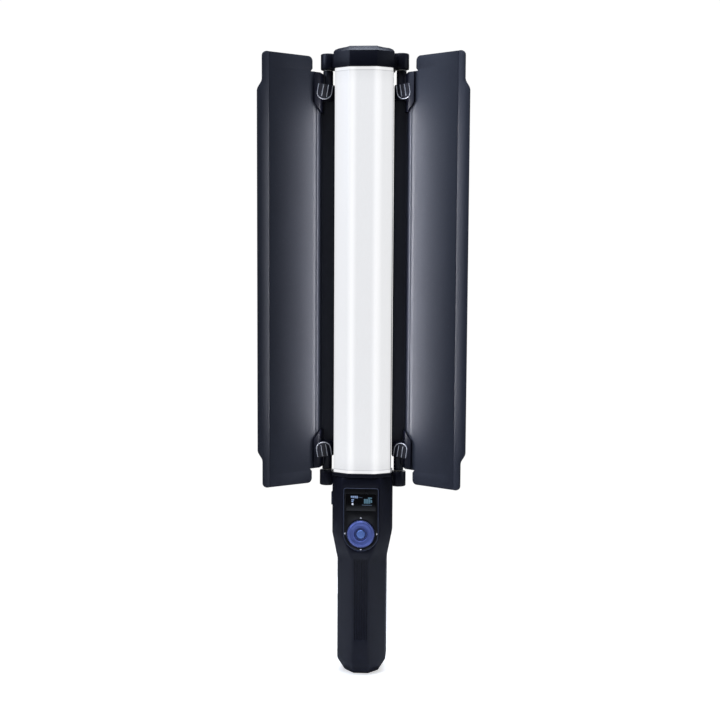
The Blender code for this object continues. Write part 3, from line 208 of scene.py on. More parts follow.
def anodised_finish():
    """Black dye in a matt oxide skin, with drawn die lines and faint cloudiness."""
    finish = Finish("anodised_black", {"Metallic": 0.55, "IOR": 1.5})
    lines = finish.noise(0.35 * MM, (1, 1, 0.004), 2.0)
    cloud = finish.noise(14 * MM, (1, 1, 0.4))
    rub = finish.rise(finish.noise(3 * MM, (1, 1, 0.15), 6.0), 0.62, 0.78)
    dye = finish.blend(cloud, ink(20, 22, 30), ink(31, 33, 42))
    finish.feed("Base Color", finish.blend(rub * 0.45, dye, ink(70, 73, 82)))
    finish.feed("Roughness", 0.34 + 0.16 * lines + 0.08 * cloud)
    finish.relief(lines, 0.03 * MM)
    return finish


dress(["rear_housing"], anodised_finish())


# ---------------------------------------------------------------- lamp board and reflector
# A long board of white solder mask with three rows of soldered lamps, each a white case with a
# yellow phosphor window. A folded white tray in front of it throws the light forward.

def plain_mesh(carrier):
    """Turns an object's modifiers into its mesh, so that nothing on it is live."""
    graph = bpy.context.evaluated_depsgraph_get()
    mesh = bpy.data.meshes.new_from_object(carrier.evaluated_get(graph), depsgraph=graph)
    carrier.modifiers.clear()
    carrier.data = mesh
    return carrier


def linked(name, data):
    """A new object in the scene."""
    made = bpy.data.objects.new(name, data)
    bpy.context.scene.collection.objects.link(made)
    return made


def grown(name, build, sizes, finish, start=None):
    """A piece that a Geometry Nodes tree makes from named sizes, as a plain mesh.

    build takes the graph, the sizes as values, and the start mesh as geometry.
    """
    tree = bpy.data.node_groups.new(name, "GeometryNodeTree")
    tree.interface.new_socket("Start", in_out="INPUT", socket_type="NodeSocketGeometry")
    sockets = {label: tree.interface.new_socket(label, in_out="INPUT", socket_type="NodeSocketFloat")
               for label in sizes}
    tree.interface.new_socket("Piece", in_out="OUTPUT", socket_type="NodeSocketGeometry")
    graph = Graph(tree)
    given = tree.nodes.new("NodeGroupInput")
    values = {label: Value(graph, given.outputs[label]) for label in sizes}
    shape = build(graph, values, Value(graph, given.outputs["Start"]))
    solid = graph.node("GeometryNodeRealizeInstances", {}, {0: shape})
    painted = graph.node("GeometryNodeSetMaterial", {}, {0: solid, "Material": finish.material})
    graph.node("NodeGroupOutput", {}, {0: painted}, output=None)
    carrier = linked(name, start or bpy.data.meshes.new(name))
    step = carrier.modifiers.new("grown", "NODES")
    step.node_group = tree
    for label, value in sizes.items():
        step[sockets[label].identifier] = value
    return plain_mesh(carrier)


def lamp_grid(graph, size, start):
    """One small block at each point of a grid that stands in the X and Z plane."""
    points = graph.node("GeometryNodeMeshGrid", {}, {
        "Size X": size["width"], "Size Y": size["height"], "Vertices X": LAMP_ROWS, "Vertices Y": LAMPS_IN_ROW})
    edges = graph.vector(size["across"], size["across"], size["deep"])
    block = graph.node("GeometryNodeMeshCube", {}, {"Size": edges})
    where = graph.vector(0.0, size["forward"], size["middle"])
    return graph.node("GeometryNodeTransform", {}, {
        0: graph.on_points(points, block), "Translation": where, "Rotation": (math.radians(90), 0, 0)})


def white_finish(name, colour, roughness):
    """Matt white with a little mottling, as on solder mask and enamelled sheet."""
    finish = Finish(name, {"Roughness": roughness})
    cloud = finish.noise(5 * MM, detail=5.0)
    red, green, blue = colour
    finish.feed("Base Color", finish.blend(cloud, ink(red - 16, green - 16, blue - 12), ink(*colour)))
    finish.relief(finish.noise(0.5 * MM), 0.01 * MM)
    return finish


LAMP_ROWS = 3
LAMPS_IN_ROW = 56
ROWS_WIDTH = 9.6 * MM
FIRST_LAMP = 3 * MM
board_low, board_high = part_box("led_board")
lamp_sizes = {"width": ROWS_WIDTH, "height": (board_high - board_low).z - 2 * FIRST_LAMP,
              "middle": (board_low.z + board_high.z) / 2}
case = grown("lamp_cases", lamp_grid, lamp_sizes | {"across": 2.8 * MM, "deep": 0.5 * MM,
             "forward": board_low.y - 0.25 * MM}, white_finish("lamp_case", (236, 234, 226), 0.4))
phosphor = grown("lamp_windows", lamp_grid, lamp_sizes | {"across": 2.0 * MM, "deep": 0.1 * MM,
                 "forward": board_low.y - 0.56 * MM}, white_finish("phosphor", (240, 208, 70), 0.3))
for piece in (case, phosphor):
    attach(piece, "wand")
dress(["led_board"], white_finish("solder_mask", (232, 233, 230), 0.35))
dress(["reflector_tray"], white_finish("enamelled_tray", (244, 244, 242), 0.45))


# ---------------------------------------------------------------- diffuser
# A milky polycarbonate extrusion that slips over the housing's edges: a flat front and two slanted
# shoulders, each a little brighter along a band where the lamps' light gathers.

def mesh_of(name, work):
    """A bmesh as a mesh, which ends the bmesh."""
    mesh = bpy.data.meshes.new(name)
    work.to_mesh(mesh)
    work.free()
    return mesh


def shade(mesh, sharp_deg):
    """Smooth shading, with the edges past an angle kept sharp."""
    mesh.shade_smooth()
    mesh.set_sharp_from_angle(angle=math.radians(sharp_deg))


def add_piece(name, work, finish, sharp_deg=30):
    """Links a bmesh as a piece."""
    mesh = mesh_of(name, work)
    mesh.materials.append(finish.material)
    shade(mesh, sharp_deg)
    return linked(name, mesh)


def rounded(points, radius, steps):
    """An open run through points, with its inner corners turned into arcs.

    An arc takes up less than half of the leg before it.
    """
    run = [Vector(points[0])]
    for before, corner, after in zip(points, points[1:], points[2:]):
        corner = Vector(corner)
        back = (Vector(before) - corner).normalized()
        ahead = (Vector(after) - corner).normalized()
        half = back.angle(ahead) / 2
        reach = min(radius / math.tan(half), (Vector(before) - corner).length * LEG_SHARE)
        start, end = back * reach, ahead * reach
        centre = (back + ahead).normalized() * (reach / math.cos(half))
        sweep = (start - centre).angle_signed(end - centre)
        run += [corner + centre + Matrix.Rotation(-sweep * i / steps, 2) @ (start - centre)
                for i in range(steps + 1)]
    run.append(Vector(points[-1]))
    return run


def beside(run, distance):
    """A run moved sideways, to its right, by a distance."""
    moved = []
    for i, point in enumerate(run):
        before, after = run[max(i - 1, 0)], run[min(i + 1, len(run) - 1)]
        along = (after - before).normalized()
        moved.append(point + Vector((along.y, -along.x)) * distance)
    return moved


def push(work, corners, step):
    """A closed prism: the face between these corners, pushed along a step."""
    base = work.faces.new([work.verts.new(corner) for corner in corners])
    pushed = bmesh.ops.extrude_face_region(work, geom=[base])["geom"]
    bmesh.ops.translate(work, verts=[v for v in pushed if isinstance(v, bmesh.types.BMVert)], vec=step)
    bmesh.ops.recalc_face_normals(work, faces=work.faces)


def lit_finish():
    """White light through milky plastic: brighter bands on the shoulders, softer ends, a fine haze."""
    finish = Finish("lit_diffuser", {
        "Base Color": ink(150, 150, 150), "Roughness": 0.3, "Emission Strength": 1.0,
        "Coat Weight": 0.1, "Coat Roughness": 0.2})
    across, _, up = finish.axes(finish.place())
    left = 1 - finish.rise(abs(across + LEFT_BAND), 0.0, BAND_REACH)
    right = 1 - finish.rise(abs(across - RIGHT_BAND), 0.0, BAND_REACH)
    side = finish.rise(abs(across), DIFFUSER_HALF - 2.5 * MM, DIFFUSER_HALF)
    slant = finish.rise(abs(across), TUBE_FLAT, TUBE_FLAT + 4 * MM)
    glow = 0.70 + 0.17 * left + 0.17 * right - 0.05 * side
    glow = glow + 0.03 * slant + 0.02 * finish.noise(20 * MM)
    from_end = DIFFUSER_LENGTH / 2 - abs(up - DIFFUSER_MIDDLE)
    inner = finish.rise(from_end, 2.6 * MM, 3.2 * MM)
    seam = finish.rise(from_end, 2.0 * MM, 2.4 * MM) * (1 - inner)
    glow = glow * (0.93 + 0.07 * finish.rise(from_end, 3 * MM, 14 * MM)) + 0.12 * (1 - inner) - 0.30 * seam
    white = finish.node("ShaderNodeCombineColor", {}, {0: glow, 1: glow, 2: glow * 1.004})
    finish.feed("Emission Color", white)
    finish.relief(finish.noise(0.8 * MM, (1, 1, 0.02)), 0.01 * MM)
    return finish


LEG_SHARE = 0.45
diffuser_low, diffuser_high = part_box("diffuser")
DIFFUSER_HALF = diffuser_high.x
DIFFUSER_LENGTH = diffuser_high.z - diffuser_low.z
DIFFUSER_MIDDLE = (diffuser_high.z + diffuser_low.z) / 2
TUBE_FLAT = 10.8 * MM
SHOULDER_Y = -14.0 * MM
DIFFUSER_WALL = 1.6 * MM
DIFFUSER_CORNER = 3.5 * MM
LEFT_BAND = 8.6 * MM
RIGHT_BAND = 11.4 * MM
BAND_REACH = 4.6 * MM
half_run = [(DIFFUSER_HALF, diffuser_high.y), (DIFFUSER_HALF, SHOULDER_Y), (TUBE_FLAT, diffuser_low.y)]
outer_run = rounded(half_run + [(-x, y) for x, y in reversed(half_run)], DIFFUSER_CORNER, 10)
inner_run = beside(outer_run, DIFFUSER_WALL)
work = bmesh.new()
push(work, [(x, y, diffuser_low.z) for x, y in outer_run + inner_run[::-1]], (0, 0, DIFFUSER_LENGTH))
cover = add_piece("diffuser_cover", work, lit_finish())
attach(cover, "wand")
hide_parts("diffuser")


# ---------------------------------------------------------------- end cap and collar
# Two mouldings of black-blue ABS with a fine spark-eroded grain. The cap is screwed to the housing,
# and the collar's neck is gripped by the handle. Each has an ear a side for the doors' hinge pins.

def moulded_finish(name, dark, light, roughness=0.38):
    """Hard plastic: mould grain, slow colour variation, and a polish where hands and cloths rub it."""
    finish = Finish(name, {"IOR": 1.38})
    cloud = finish.noise(9 * MM, detail=4.0)
    grain = finish.noise(0.45 * MM, detail=2.0)
    polish = finish.rise(finish.noise(26 * MM, (1, 1, 0.6)), 0.45, 0.7)
    dust = finish.rise(finish.noise(0.9 * MM, detail=6.0), 0.68, 0.8)
    tone = finish.blend(cloud, ink(*dark), ink(*light))
    finish.feed("Base Color", finish.blend(dust * 0.10, tone, ink(120, 124, 134)))
    finish.feed("Roughness", roughness + 0.10 * grain - 0.07 * polish + 0.08 * dust)
    finish.relief(grain, 0.045 * MM)
    return finish


def eased_copy(name, node, width, finish, body):
    """A copy of a CAD node, merged, with its edges rounded, that stands in for it."""
    work = bmesh.new()
    work.from_mesh(frame["nodes"][node].data)
    bmesh.ops.remove_doubles(work, verts=work.verts, dist=0.002 * MM)
    bmesh.ops.dissolve_limit(work, angle_limit=math.radians(1), verts=work.verts, edges=work.edges)
    piece = add_piece(name, work, finish)
    step = piece.modifiers.new("eased", "BEVEL")
    step.width = width
    step.segments = 2
    step.angle_limit = math.radians(28)
    step.loop_slide = False
    plain_mesh(piece)
    shade(piece.data, 40)
    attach(piece, body)
    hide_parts(node)
    return piece


shell_finish = moulded_finish("grained_plastic", (12, 14, 26), (18, 20, 36))
eased_copy("end_cap", "top_cap", 0.35 * MM, shell_finish, "wand")
eased_copy("neck_collar", "lower_collar", 0.3 * MM, shell_finish, "wand")


# ---------------------------------------------------------------- barn doors
# Each door is one folded aluminium sheet in black powder coat: a lip beside the tube, a steep wall,
# the broad panel and a raked outer edge, with a pressed line beside each fold.

def coated_finish():
    """Powder coat: orange peel, a dust of lighter specks, and a sheen that differs a little by area."""
    finish = Finish("powder_coat", {"IOR": 1.5})
    cloud = finish.noise(22 * MM, (1, 1, 0.5), 4.0)
    peel = finish.noise(0.8 * MM, detail=3.0)
    speck = finish.rise(finish.noise(0.5 * MM, detail=1.0), 0.66, 0.74)
    tone = finish.blend(cloud, ink(39, 42, 54), ink(46, 50, 63))
    finish.feed("Base Color", finish.blend(speck * 0.25, tone, ink(96, 99, 112)))
    finish.feed("Roughness", 0.46 + 0.10 * peel + 0.06 * cloud)
    finish.relief(peel, 0.05 * MM)
    return finish


def worn_edge_finish():
    """The sheet's cut edge, where the coat is thin and has chipped to bare aluminium here and there."""
    finish = Finish("coat_edge", {"IOR": 1.5})
    chip = finish.rise(finish.noise(2.4 * MM, detail=6.0), 0.63, 0.68)
    finish.feed("Base Color", finish.blend(chip, ink(64, 67, 80), ink(150, 152, 158)))
    finish.feed("Metallic", chip * 0.8)
    finish.feed("Roughness", 0.45 - 0.1 * chip)
    finish.relief(finish.noise(0.6 * MM), 0.04 * MM)
    return finish


def hinge_point(word):
    """The middle of a door's hinge line."""
    return next(joint for joint in frame["joints"] if joint["name"] == word + "_door_hinge")["pos_m"]


GAP = 0.3 * MM
HEAD_HALF = hinge_point("left")[2] - (diffuser_low.z - GAP)
SHEET = 1.0 * MM
LIP_TILT = math.radians(34.6)
LIP_IN = 5.7 * MM
LIP_OUT = 4.9 * MM
PANEL_FORWARD = 5.9 * MM
BEND_OUT = 13.2 * MM
NOTCH_OUT = 18.2 * MM
CREASE_OUT = 56.7 * MM
END_EDGE_OUT = 62.4 * MM
LONG_EDGE_OUT = 66.4 * MM
EDGE_SLOPE = math.tan(math.radians(-8.0))
WALL_HALF = HEAD_HALF - 3.3 * MM
DOOR_HALF = HEAD_HALF + 8.2 * MM
TAPER_START = DOOR_HALF - 30 * MM
TAPER_END = DOOR_HALF - 21 * MM
LIP_HALF = TAPER_END
CORNER = 3.6 * MM
INNER_CORNER = 3.8 * MM
FLARE = 3.6 * MM
FOLD_RADIUS = 1.3 * MM
FOLD_LEAD = 9 * MM
PRESSED = 0.35 * MM
PRESSED_HALF = 0.7 * MM
PRESSED_FROM_BEND = 1.7 * MM
PRESSED_FROM_EDGE = 1.2 * MM
LIP_COLUMNS = 6
WALL_COLUMNS = 15
FORWARD_DEG = {"left": 36.6, "right": 32.7}


def easing(share):
    """0 below 0, 1 above 1, and smooth between."""
    share = min(max(share, 0.0), 1.0)
    return share * share * (3 - 2 * share)


def lip_ends():
    """The lip's inner and outer end, as (out, forward) from the hinge axis."""
    return [Vector((reach * math.cos(LIP_TILT), -reach * math.sin(LIP_TILT))) for reach in (-LIP_IN, LIP_OUT)]


def drawn_in(radius, up):
    """How far a rounded corner of the door draws its outline in, at a height."""
    return radius - math.sqrt(radius ** 2 - max(up - DOOR_HALF + radius, 0.0) ** 2)


def sheet_row(height):
    """The sheet's middle line at a height, as (out, forward) from the hinge axis, inner edge first."""
    up = abs(height)
    bend = BEND_OUT + FLARE * easing((up - TAPER_START) / (WALL_HALF - TAPER_START))
    panel_run = [(bend, PANEL_FORWARD), (bend + FOLD_LEAD, PANEL_FORWARD)]
    fold = rounded(lip_ends() + panel_run, FOLD_RADIUS, 4)
    row = fold[:6] + [(fold[5] + fold[6]) / 2] + fold[6:11]
    notch = NOTCH_OUT + drawn_in(INNER_CORNER, up) if up > WALL_HALF else max(NOTCH_OUT, bend + 3.0 * MM)
    taper = easing((up - TAPER_START) / (TAPER_END - TAPER_START))
    edge = LONG_EDGE_OUT + (END_EDGE_OUT - LONG_EDGE_OUT) * taper - drawn_in(CORNER, up)
    for middle in (bend + PRESSED_FROM_BEND, min(CREASE_OUT, edge - PRESSED_FROM_EDGE)):
        for out, dip in ((-PRESSED_HALF, 0.0), (0.0, PRESSED), (PRESSED_HALF, 0.0)):
            row.append(Vector((middle + out, PANEL_FORWARD - dip)))
    row.insert(-3, Vector((notch, PANEL_FORWARD)))
    row.append(Vector((edge, PANEL_FORWARD + (edge - CREASE_OUT) * EDGE_SLOPE)))
    return row


def sheet_heights():
    """Heights of the rows, closer together where the outline curves."""
    upper = [60 * MM, 110 * MM]
    upper += [TAPER_START + (TAPER_END - TAPER_START) * i / 5 for i in range(6)]
    upper += [WALL_HALF, WALL_HALF + 2 * MM, DOOR_HALF - CORNER]
    upper += [DOOR_HALF - CORNER + CORNER * math.sin(math.radians(15 * i)) for i in range(1, 7)]
    return [-height for height in reversed(upper)] + [0.0] + upper


def strip_half(column):
    """How high the strip of sheet after a column reaches."""
    if column < LIP_COLUMNS:
        return LIP_HALF
    return WALL_HALF if column < WALL_COLUMNS else DOOR_HALF


def hinge_place(word, side):
    """The matrix from a door's own frame, with its panel across the light, to its place at rest."""
    turn = Matrix.Rotation(-side * math.radians(FORWARD_DEG[word]), 4, "Z")
    return Matrix.Translation(hinge_point(word)) @ turn


def door_sheet(word, side, coat, edge_coat):
    """The folded sheet: rows of points joined up, given its thickness, and eased at its cut edges."""
    work = bmesh.new()
    heights = sheet_heights()
    rows = [[work.verts.new((side * out, -forward, height)) for out, forward in sheet_row(height)]
            for height in heights]
    for low, high, lower, upper in zip(heights, heights[1:], rows, rows[1:]):
        for column in range(len(lower) - 1):
            if max(abs(low), abs(high)) <= strip_half(column) + 0.01 * MM:
                corners = [lower[column], lower[column + 1], upper[column + 1], upper[column]]
                work.faces.new(corners if side > 0 else corners[::-1])
    bmesh.ops.delete(work, geom=[vert for vert in work.verts if not vert.link_faces], context="VERTS")
    bmesh.ops.transform(work, matrix=hinge_place(word, side), verts=work.verts)
    piece = add_piece(word + "_door_sheet", work, coat)
    piece.data.materials.append(edge_coat.material)
    thick = piece.modifiers.new("sheet", "SOLIDIFY")
    thick.thickness = SHEET
    thick.offset = 0.0
    thick.use_even_offset = True
    eased = piece.modifiers.new("cut_edge", "BEVEL")
    eased.width = 0.24 * MM
    eased.segments = 2
    eased.angle_limit = math.radians(60)
    eased.material = 1
    plain_mesh(piece)
    shade(piece.data, 38)
    return piece


def spun(name, profile, steps):
    """A turned solid's mesh. The profile holds (radius, height) and starts and ends on the axis."""
    work = bmesh.new()
    verts = [work.verts.new((radius, 0.0, height)) for radius, height in profile]
    edges = [work.edges.new(pair) for pair in zip(verts, verts[1:])]
    bmesh.ops.spin(work, geom=verts + edges, cent=(0, 0, 0), axis=(0, 0, 1), angle=math.tau, steps=steps,
                   use_merge=True, use_duplicate=False)
    bmesh.ops.remove_doubles(work, verts=work.verts, dist=0.001 * MM)
    bmesh.ops.recalc_face_normals(work, faces=work.faces)
    mesh = mesh_of(name, work)
    shade(mesh, 40)
    return mesh


def steel_finish(name, colour=(150, 153, 160), roughness=0.28):
    """Plated steel with fine handling scratches and a few dull spots."""
    finish = Finish(name, {"Metallic": 1.0})
    scratch = finish.noise(0.25 * MM, (1, 1, 0.1))
    dull = finish.rise(finish.noise(1.8 * MM, detail=5.0), 0.55, 0.75)
    red, green, blue = colour
    worn = ink(red * 0.7, green * 0.7, blue * 0.72)
    finish.feed("Base Color", finish.blend(dull, ink(*colour), worn))
    finish.feed("Roughness", roughness + 0.12 * scratch + 0.15 * dull)
    finish.relief(scratch, 0.008 * MM)
    return finish


def two_apart(graph, size, start):
    """The start mesh twice, moved both ways from its place by the distances across and up."""
    line = graph.node("GeometryNodeMeshLine", {"mode": "END_POINTS"}, {
        "Count": 2, "Start Location": graph.vector(-1 * size["across"], 0.0, -1 * size["up"]),
        "Offset": graph.vector(size["across"], 0.0, size["up"])})
    return graph.on_points(line, start)


def rivet_pair(word, side, finish):
    """Two domed rivets in a door's wall, as one mesh."""
    upper, lower = [sum(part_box(word + place), Vector()) / 2 for place in ("_upper_rivet", "_lower_rivet")]
    wall = Vector((BEND_OUT, PANEL_FORWARD)) - lip_ends()[1]
    outward = Vector((side * wall.x, -wall.y, 0)).cross(Vector((0, 0, side)))
    normal = hinge_place(word, side).to_3x3() @ outward
    face, dome, head, shank = 1.8 * MM, 0.62 * MM, 2.0 * MM, 1.15 * MM
    profile = [(0.0, face + dome)]
    for angle in range(75, -1, -15):
        profile.append((head * math.cos(math.radians(angle)), face + dome * math.sin(math.radians(angle))))
    profile.append((shank, face))
    profile += [(radius, -height) for radius, height in reversed(profile)]
    mesh = spun(word + "_rivet_shape", profile, 24)
    mesh.transform(normal.to_track_quat("Z", "Y").to_matrix().to_4x4())
    pair = grown(word + "_rivets", two_apart, {"across": 0.0, "up": (upper.z - lower.z) / 2}, finish, mesh)
    pair.data.transform(Matrix.Translation((upper.x, upper.y, (upper.z + lower.z) / 2)))
    return pair


def round_bead(graph, size, start):
    """A round bead along the start mesh's edges."""
    path = graph.node("GeometryNodeMeshToCurve", {}, {0: start})
    sizes = {"Resolution": 10, "Radius": size["radius"]}
    section = graph.node("GeometryNodeCurvePrimitiveCircle", {}, sizes)
    return graph.node("GeometryNodeCurveToMesh", {}, {0: path, 1: section, "Fill Caps": True})


def mitred(points, distance):
    """A run of straight legs moved to its left, its corners where the moved legs meet."""
    ways = [(after - before).normalized() for before, after in zip(points, points[1:])]
    lefts = [Vector((-way.y, way.x)) for way in ways]
    moved = [points[0] + lefts[0] * distance]
    for corner, before, after in zip(points[1:-1], lefts, lefts[1:]):
        middle = (before + after).normalized()
        moved.append(corner + middle * (distance / middle.dot(before)))
    moved.append(points[-1] + lefts[-1] * distance)
    return moved


def on_run(run, out):
    """The point of a run that lies a distance out, and how far forward it is there."""
    for start, end in zip(run, run[1:]):
        if out <= end.x or end == run[-1]:
            return Vector((out, start.y + (end.y - start.y) * (out - start.x) / (end.x - start.x)))


def rib_paths():
    """A U and two straight legs inside it, as (out, up) from the hinge axis and the head's middle."""
    half, centre = (RIB_OUTER - RIB_INNER) / 2, (RIB_INNER + RIB_OUTER) / 2
    foot = RIB_TOP - RIB_HEIGHT
    around = [(RIB_INNER, RIB_TOP)]
    for angle in range(180, 361, 10):
        turn = math.radians(angle)
        around.append((centre + half * math.cos(turn), foot + RIB_BOW * (1 + math.sin(turn))))
    around.append((RIB_OUTER, RIB_TOP))
    inside = [centre + share * half for share in RIB_SHARES]
    return [around] + [[(out, foot + RIB_BOW * 0.4), (out, RIB_TOP)] for out in inside]


def plate_ribs(word, place, side, end, finish):
    """Beads on the front of an arm's plate, over lip and wall. They lean out towards the door's end."""
    bend = Vector((BEND_OUT, PANEL_FORWARD))
    turn = Matrix.Rotation(math.radians(FORWARD_DEG[word]), 2)
    middle = [turn @ point for point in lip_ends() + [bend, bend + Vector((4 * MM, 0))]]
    front = mitred(middle, RIB_FORWARD)
    del front[1]
    work = bmesh.new()
    for path in rib_paths():
        fine = []
        for first, second in zip(path, path[1:]):
            count = 4 if abs(first[0] - second[0]) > 0.3 * MM else 1
            fine += [Vector(first).lerp(Vector(second), i / count) for i in range(count)]
        fine.append(path[-1])
        verts = []
        for out, up in fine:
            point = on_run(front, out + RIB_LEAN * (RIB_TOP - up - RIB_HEIGHT / 2))
            verts.append(work.verts.new((side * point.x, -point.y, end * up)))
        for pair in zip(verts, verts[1:]):
            work.edges.new(pair)
    mesh = mesh_of(word + "_rib_paths", work)
    mesh.transform(Matrix.Translation(hinge_point(word)))
    return grown(word + place + "_ribs", round_bead, {"radius": RIB_RADIUS}, finish, mesh)


RIB_TOP = HEAD_HALF - 12.7 * MM
RIB_HEIGHT = 11.4 * MM
RIB_INNER = -3.2 * MM
RIB_OUTER = 7.1 * MM
RIB_BOW = 5.0 * MM
RIB_SHARES = (-0.38, 0.3)
RIB_LEAN = math.tan(math.radians(8.7))
RIB_FORWARD = 2.36 * MM
RIB_RADIUS = 0.36 * MM
coat = coated_finish()
edge_coat = worn_edge_finish()
plated = steel_finish("plated_steel")
dark_rivet = steel_finish("blackened_steel", (46, 48, 56), 0.4)
# The ribs' pale grey is a painted highlight: the beads on the arms' plates are coloured as the light lines they
# show.
rib_painted_highlight_finish = moulded_finish("rib_painted_highlight", (176, 179, 188), (206, 208, 215), 0.32)
nylon = white_finish("nylon", (196, 196, 188), 0.5)
for word, side in (("left", -1), ("right", 1)):
    body = word + "_door"
    sheet = door_sheet(word, side, coat, edge_coat)
    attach(sheet, body)
    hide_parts(word + "_door_panel")
    rivets = rivet_pair(word, side, dark_rivet)
    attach(rivets, body)
    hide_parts(word + "_upper_rivet", word + "_lower_rivet")
    for place, end in (("_upper", 1), ("_lower", -1)):
        eased_copy(word + place + "_arm", word + place + "_hinge_arm", 0.25 * MM, shell_finish, body)
        ribs = plate_ribs(word, place, side, end, rib_painted_highlight_finish)
        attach(ribs, body)
        dress([word + place + "_hinge_pin"], plated)
        dress([word + place + "_hinge_washer"], nylon)


# ---------------------------------------------------------------- handle
# Two hollow shells of grained black plastic that meet along the sides, with flutes down the grip's
# front. Four hex-socket screws go in from the back, and two more hold the end cap on top.

def join_rings(work, rings):
    """Faces between each ring of points and the next."""
    for low, high in zip(rings, rings[1:]):
        for i in range(len(low)):
            after = (i + 1) % len(low)
            work.faces.new((low[i], low[after], high[after], high[i]))


def socket_screw(radius, thick, shank, length):
    """A hex-socket screw that points down: rings of 24 points from its tip to the floor of its socket."""
    count = 24
    hexagon = radius * 0.52
    rounds = [(shank * 0.6, -length), (shank, -length + shank * 0.5), (shank, 0.0), (radius, 0.0),
              (radius, thick - 0.35 * MM), (radius - 0.12 * MM, thick - 0.12 * MM),
              (radius - 0.4 * MM, thick), (hexagon + 0.15 * MM, thick)]
    sixes = [(hexagon, thick - 0.15 * MM), (hexagon, thick * 0.35)]
    work = bmesh.new()
    made = []
    for size, height in rounds + sixes:
        made.append([])
        for i in range(count):
            angle = math.tau * i / count
            reach = size
            if (size, height) in sixes:
                reach *= math.cos(math.pi / 6) / math.cos((angle % (math.pi / 3)) - math.pi / 6)
            made[-1].append(work.verts.new((reach * math.cos(angle), reach * math.sin(angle), height)))
    join_rings(work, made)
    work.faces.new(made[0][::-1])
    work.faces.new(made[-1])
    bmesh.ops.recalc_face_normals(work, faces=work.faces)
    mesh = mesh_of("socket_screw", work)
    shade(mesh, 35)
    return mesh


def screw_pair(name, left, right, turn, finish):
    """Two screws in place of a left and a right CAD node, whose heads look along turn's Z."""
    low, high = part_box(left)
    head, thick, shank = 2.7 * MM, 2.0 * MM, 1.4 * MM
    outward = turn @ Vector((0, 0, 1))
    length = (high - low).dot(Vector([abs(value) for value in outward])) - thick
    mesh = socket_screw(head, thick, shank, length)
    mesh.transform(turn.to_4x4())
    middle = (low + high) / 2
    seat = middle + outward * ((length - thick) / 2)
    pair = grown(name, two_apart, {"across": abs(middle.x), "up": 0.0}, finish, mesh)
    pair.data.transform(Matrix.Translation((0, seat.y, seat.z)))
    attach(pair, "wand")
    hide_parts(left, right)


handle_finish = moulded_finish("handle_plastic", (12, 14, 28), (18, 21, 40), 0.42)
eased_copy("front_shell", "handle_front_shell", 0.3 * MM, handle_finish, "wand")
eased_copy("rear_shell", "handle_rear_shell", 0.3 * MM, handle_finish, "wand")
screw_finish = steel_finish("black_screw", (62, 64, 72), 0.34)
to_back = Matrix.Rotation(math.radians(-90), 3, "X")
for place in ("upper", "lower"):
    screw_pair("handle_screws_" + place, "handle_screw_left_" + place, "handle_screw_right_" + place,
               to_back, screw_finish)
screw_pair("cap_screws", "top_cap_screw_left", "top_cap_screw_right", Matrix.Identity(3), screw_finish)


# ---------------------------------------------------------------- tripod socket, battery and lead
# Brass insert with a cut thread in the handle's foot, two wrapped lithium cells in a nylon trough,
# and the two-core lead that brings their power up through the neck.

def stacked_rings(graph, size, start):
    """Rounded rings one above another, which stand for the crests of a thread."""
    line = graph.node("GeometryNodeMeshLine", {}, {
        "Count": 7, "Start Location": graph.vector(0.0, 0.0, size["low"]),
        "Offset": graph.vector(0.0, 0.0, size["pitch"])})
    ring = graph.node("GeometryNodeCurvePrimitiveCircle", {}, {"Resolution": 48, "Radius": size["radius"]})
    crest = graph.node("GeometryNodeCurvePrimitiveCircle", {}, {"Resolution": 6, "Radius": size["crest"]})
    return graph.on_points(line, graph.node("GeometryNodeCurveToMesh", {}, {0: ring, 1: crest}))


def cell_finish():
    """Shrink wrap with a paler band here and there and fine wrinkles."""
    finish = Finish("cell_wrap", {"Coat Weight": 0.3, "Coat Roughness": 0.15})
    wrinkle = finish.noise(1.6 * MM, (1, 1, 0.2), 4.0)
    band = finish.rise(abs(finish.axes(finish.place((1, 1, 15.0)))[2].sine()), 0.96, 0.98)
    tone = finish.blend(band, ink(38, 66, 128), ink(176, 184, 200))
    finish.feed("Base Color", finish.blend(wrinkle * 0.2, tone, ink(20, 30, 60)))
    finish.feed("Roughness", 0.3 + 0.15 * wrinkle)
    finish.relief(wrinkle, 0.03 * MM)
    return finish


def soft_finish(name, dark, light):
    """Rubber or cable jacket: matt, slightly blotched, with dust in its pores."""
    finish = Finish(name, {"IOR": 1.45})
    pore = finish.noise(0.35 * MM, detail=2.0)
    dust = finish.rise(finish.noise(1.4 * MM, detail=6.0), 0.6, 0.8)
    tone = finish.blend(finish.noise(6 * MM), ink(*dark), ink(*light))
    finish.feed("Base Color", finish.blend(dust * 0.12, tone, ink(110, 112, 118)))
    finish.feed("Roughness", 0.66 + 0.16 * pore)
    finish.relief(pore, 0.03 * MM)
    return finish


brass = steel_finish("turned_brass", (196, 158, 88), 0.26)
dress(["tripod_insert"], brass)
thread = grown("socket_thread", stacked_rings, {
    "low": 1.2 * MM, "pitch": 1.27 * MM, "radius": 3.3 * MM, "crest": 0.28 * MM}, brass)
thread.data.shade_smooth()
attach(thread, "wand")
dress(["battery_cell_lower", "battery_cell_upper"], cell_finish())
dress(["battery_cradle", "nav_switch_base", "nav_gimbal", "power_switch"],
      white_finish("black_nylon", (44, 45, 50), 0.5))
dress(["led_lead"], soft_finish("lead_jacket", (150, 26, 24), (172, 36, 30)))
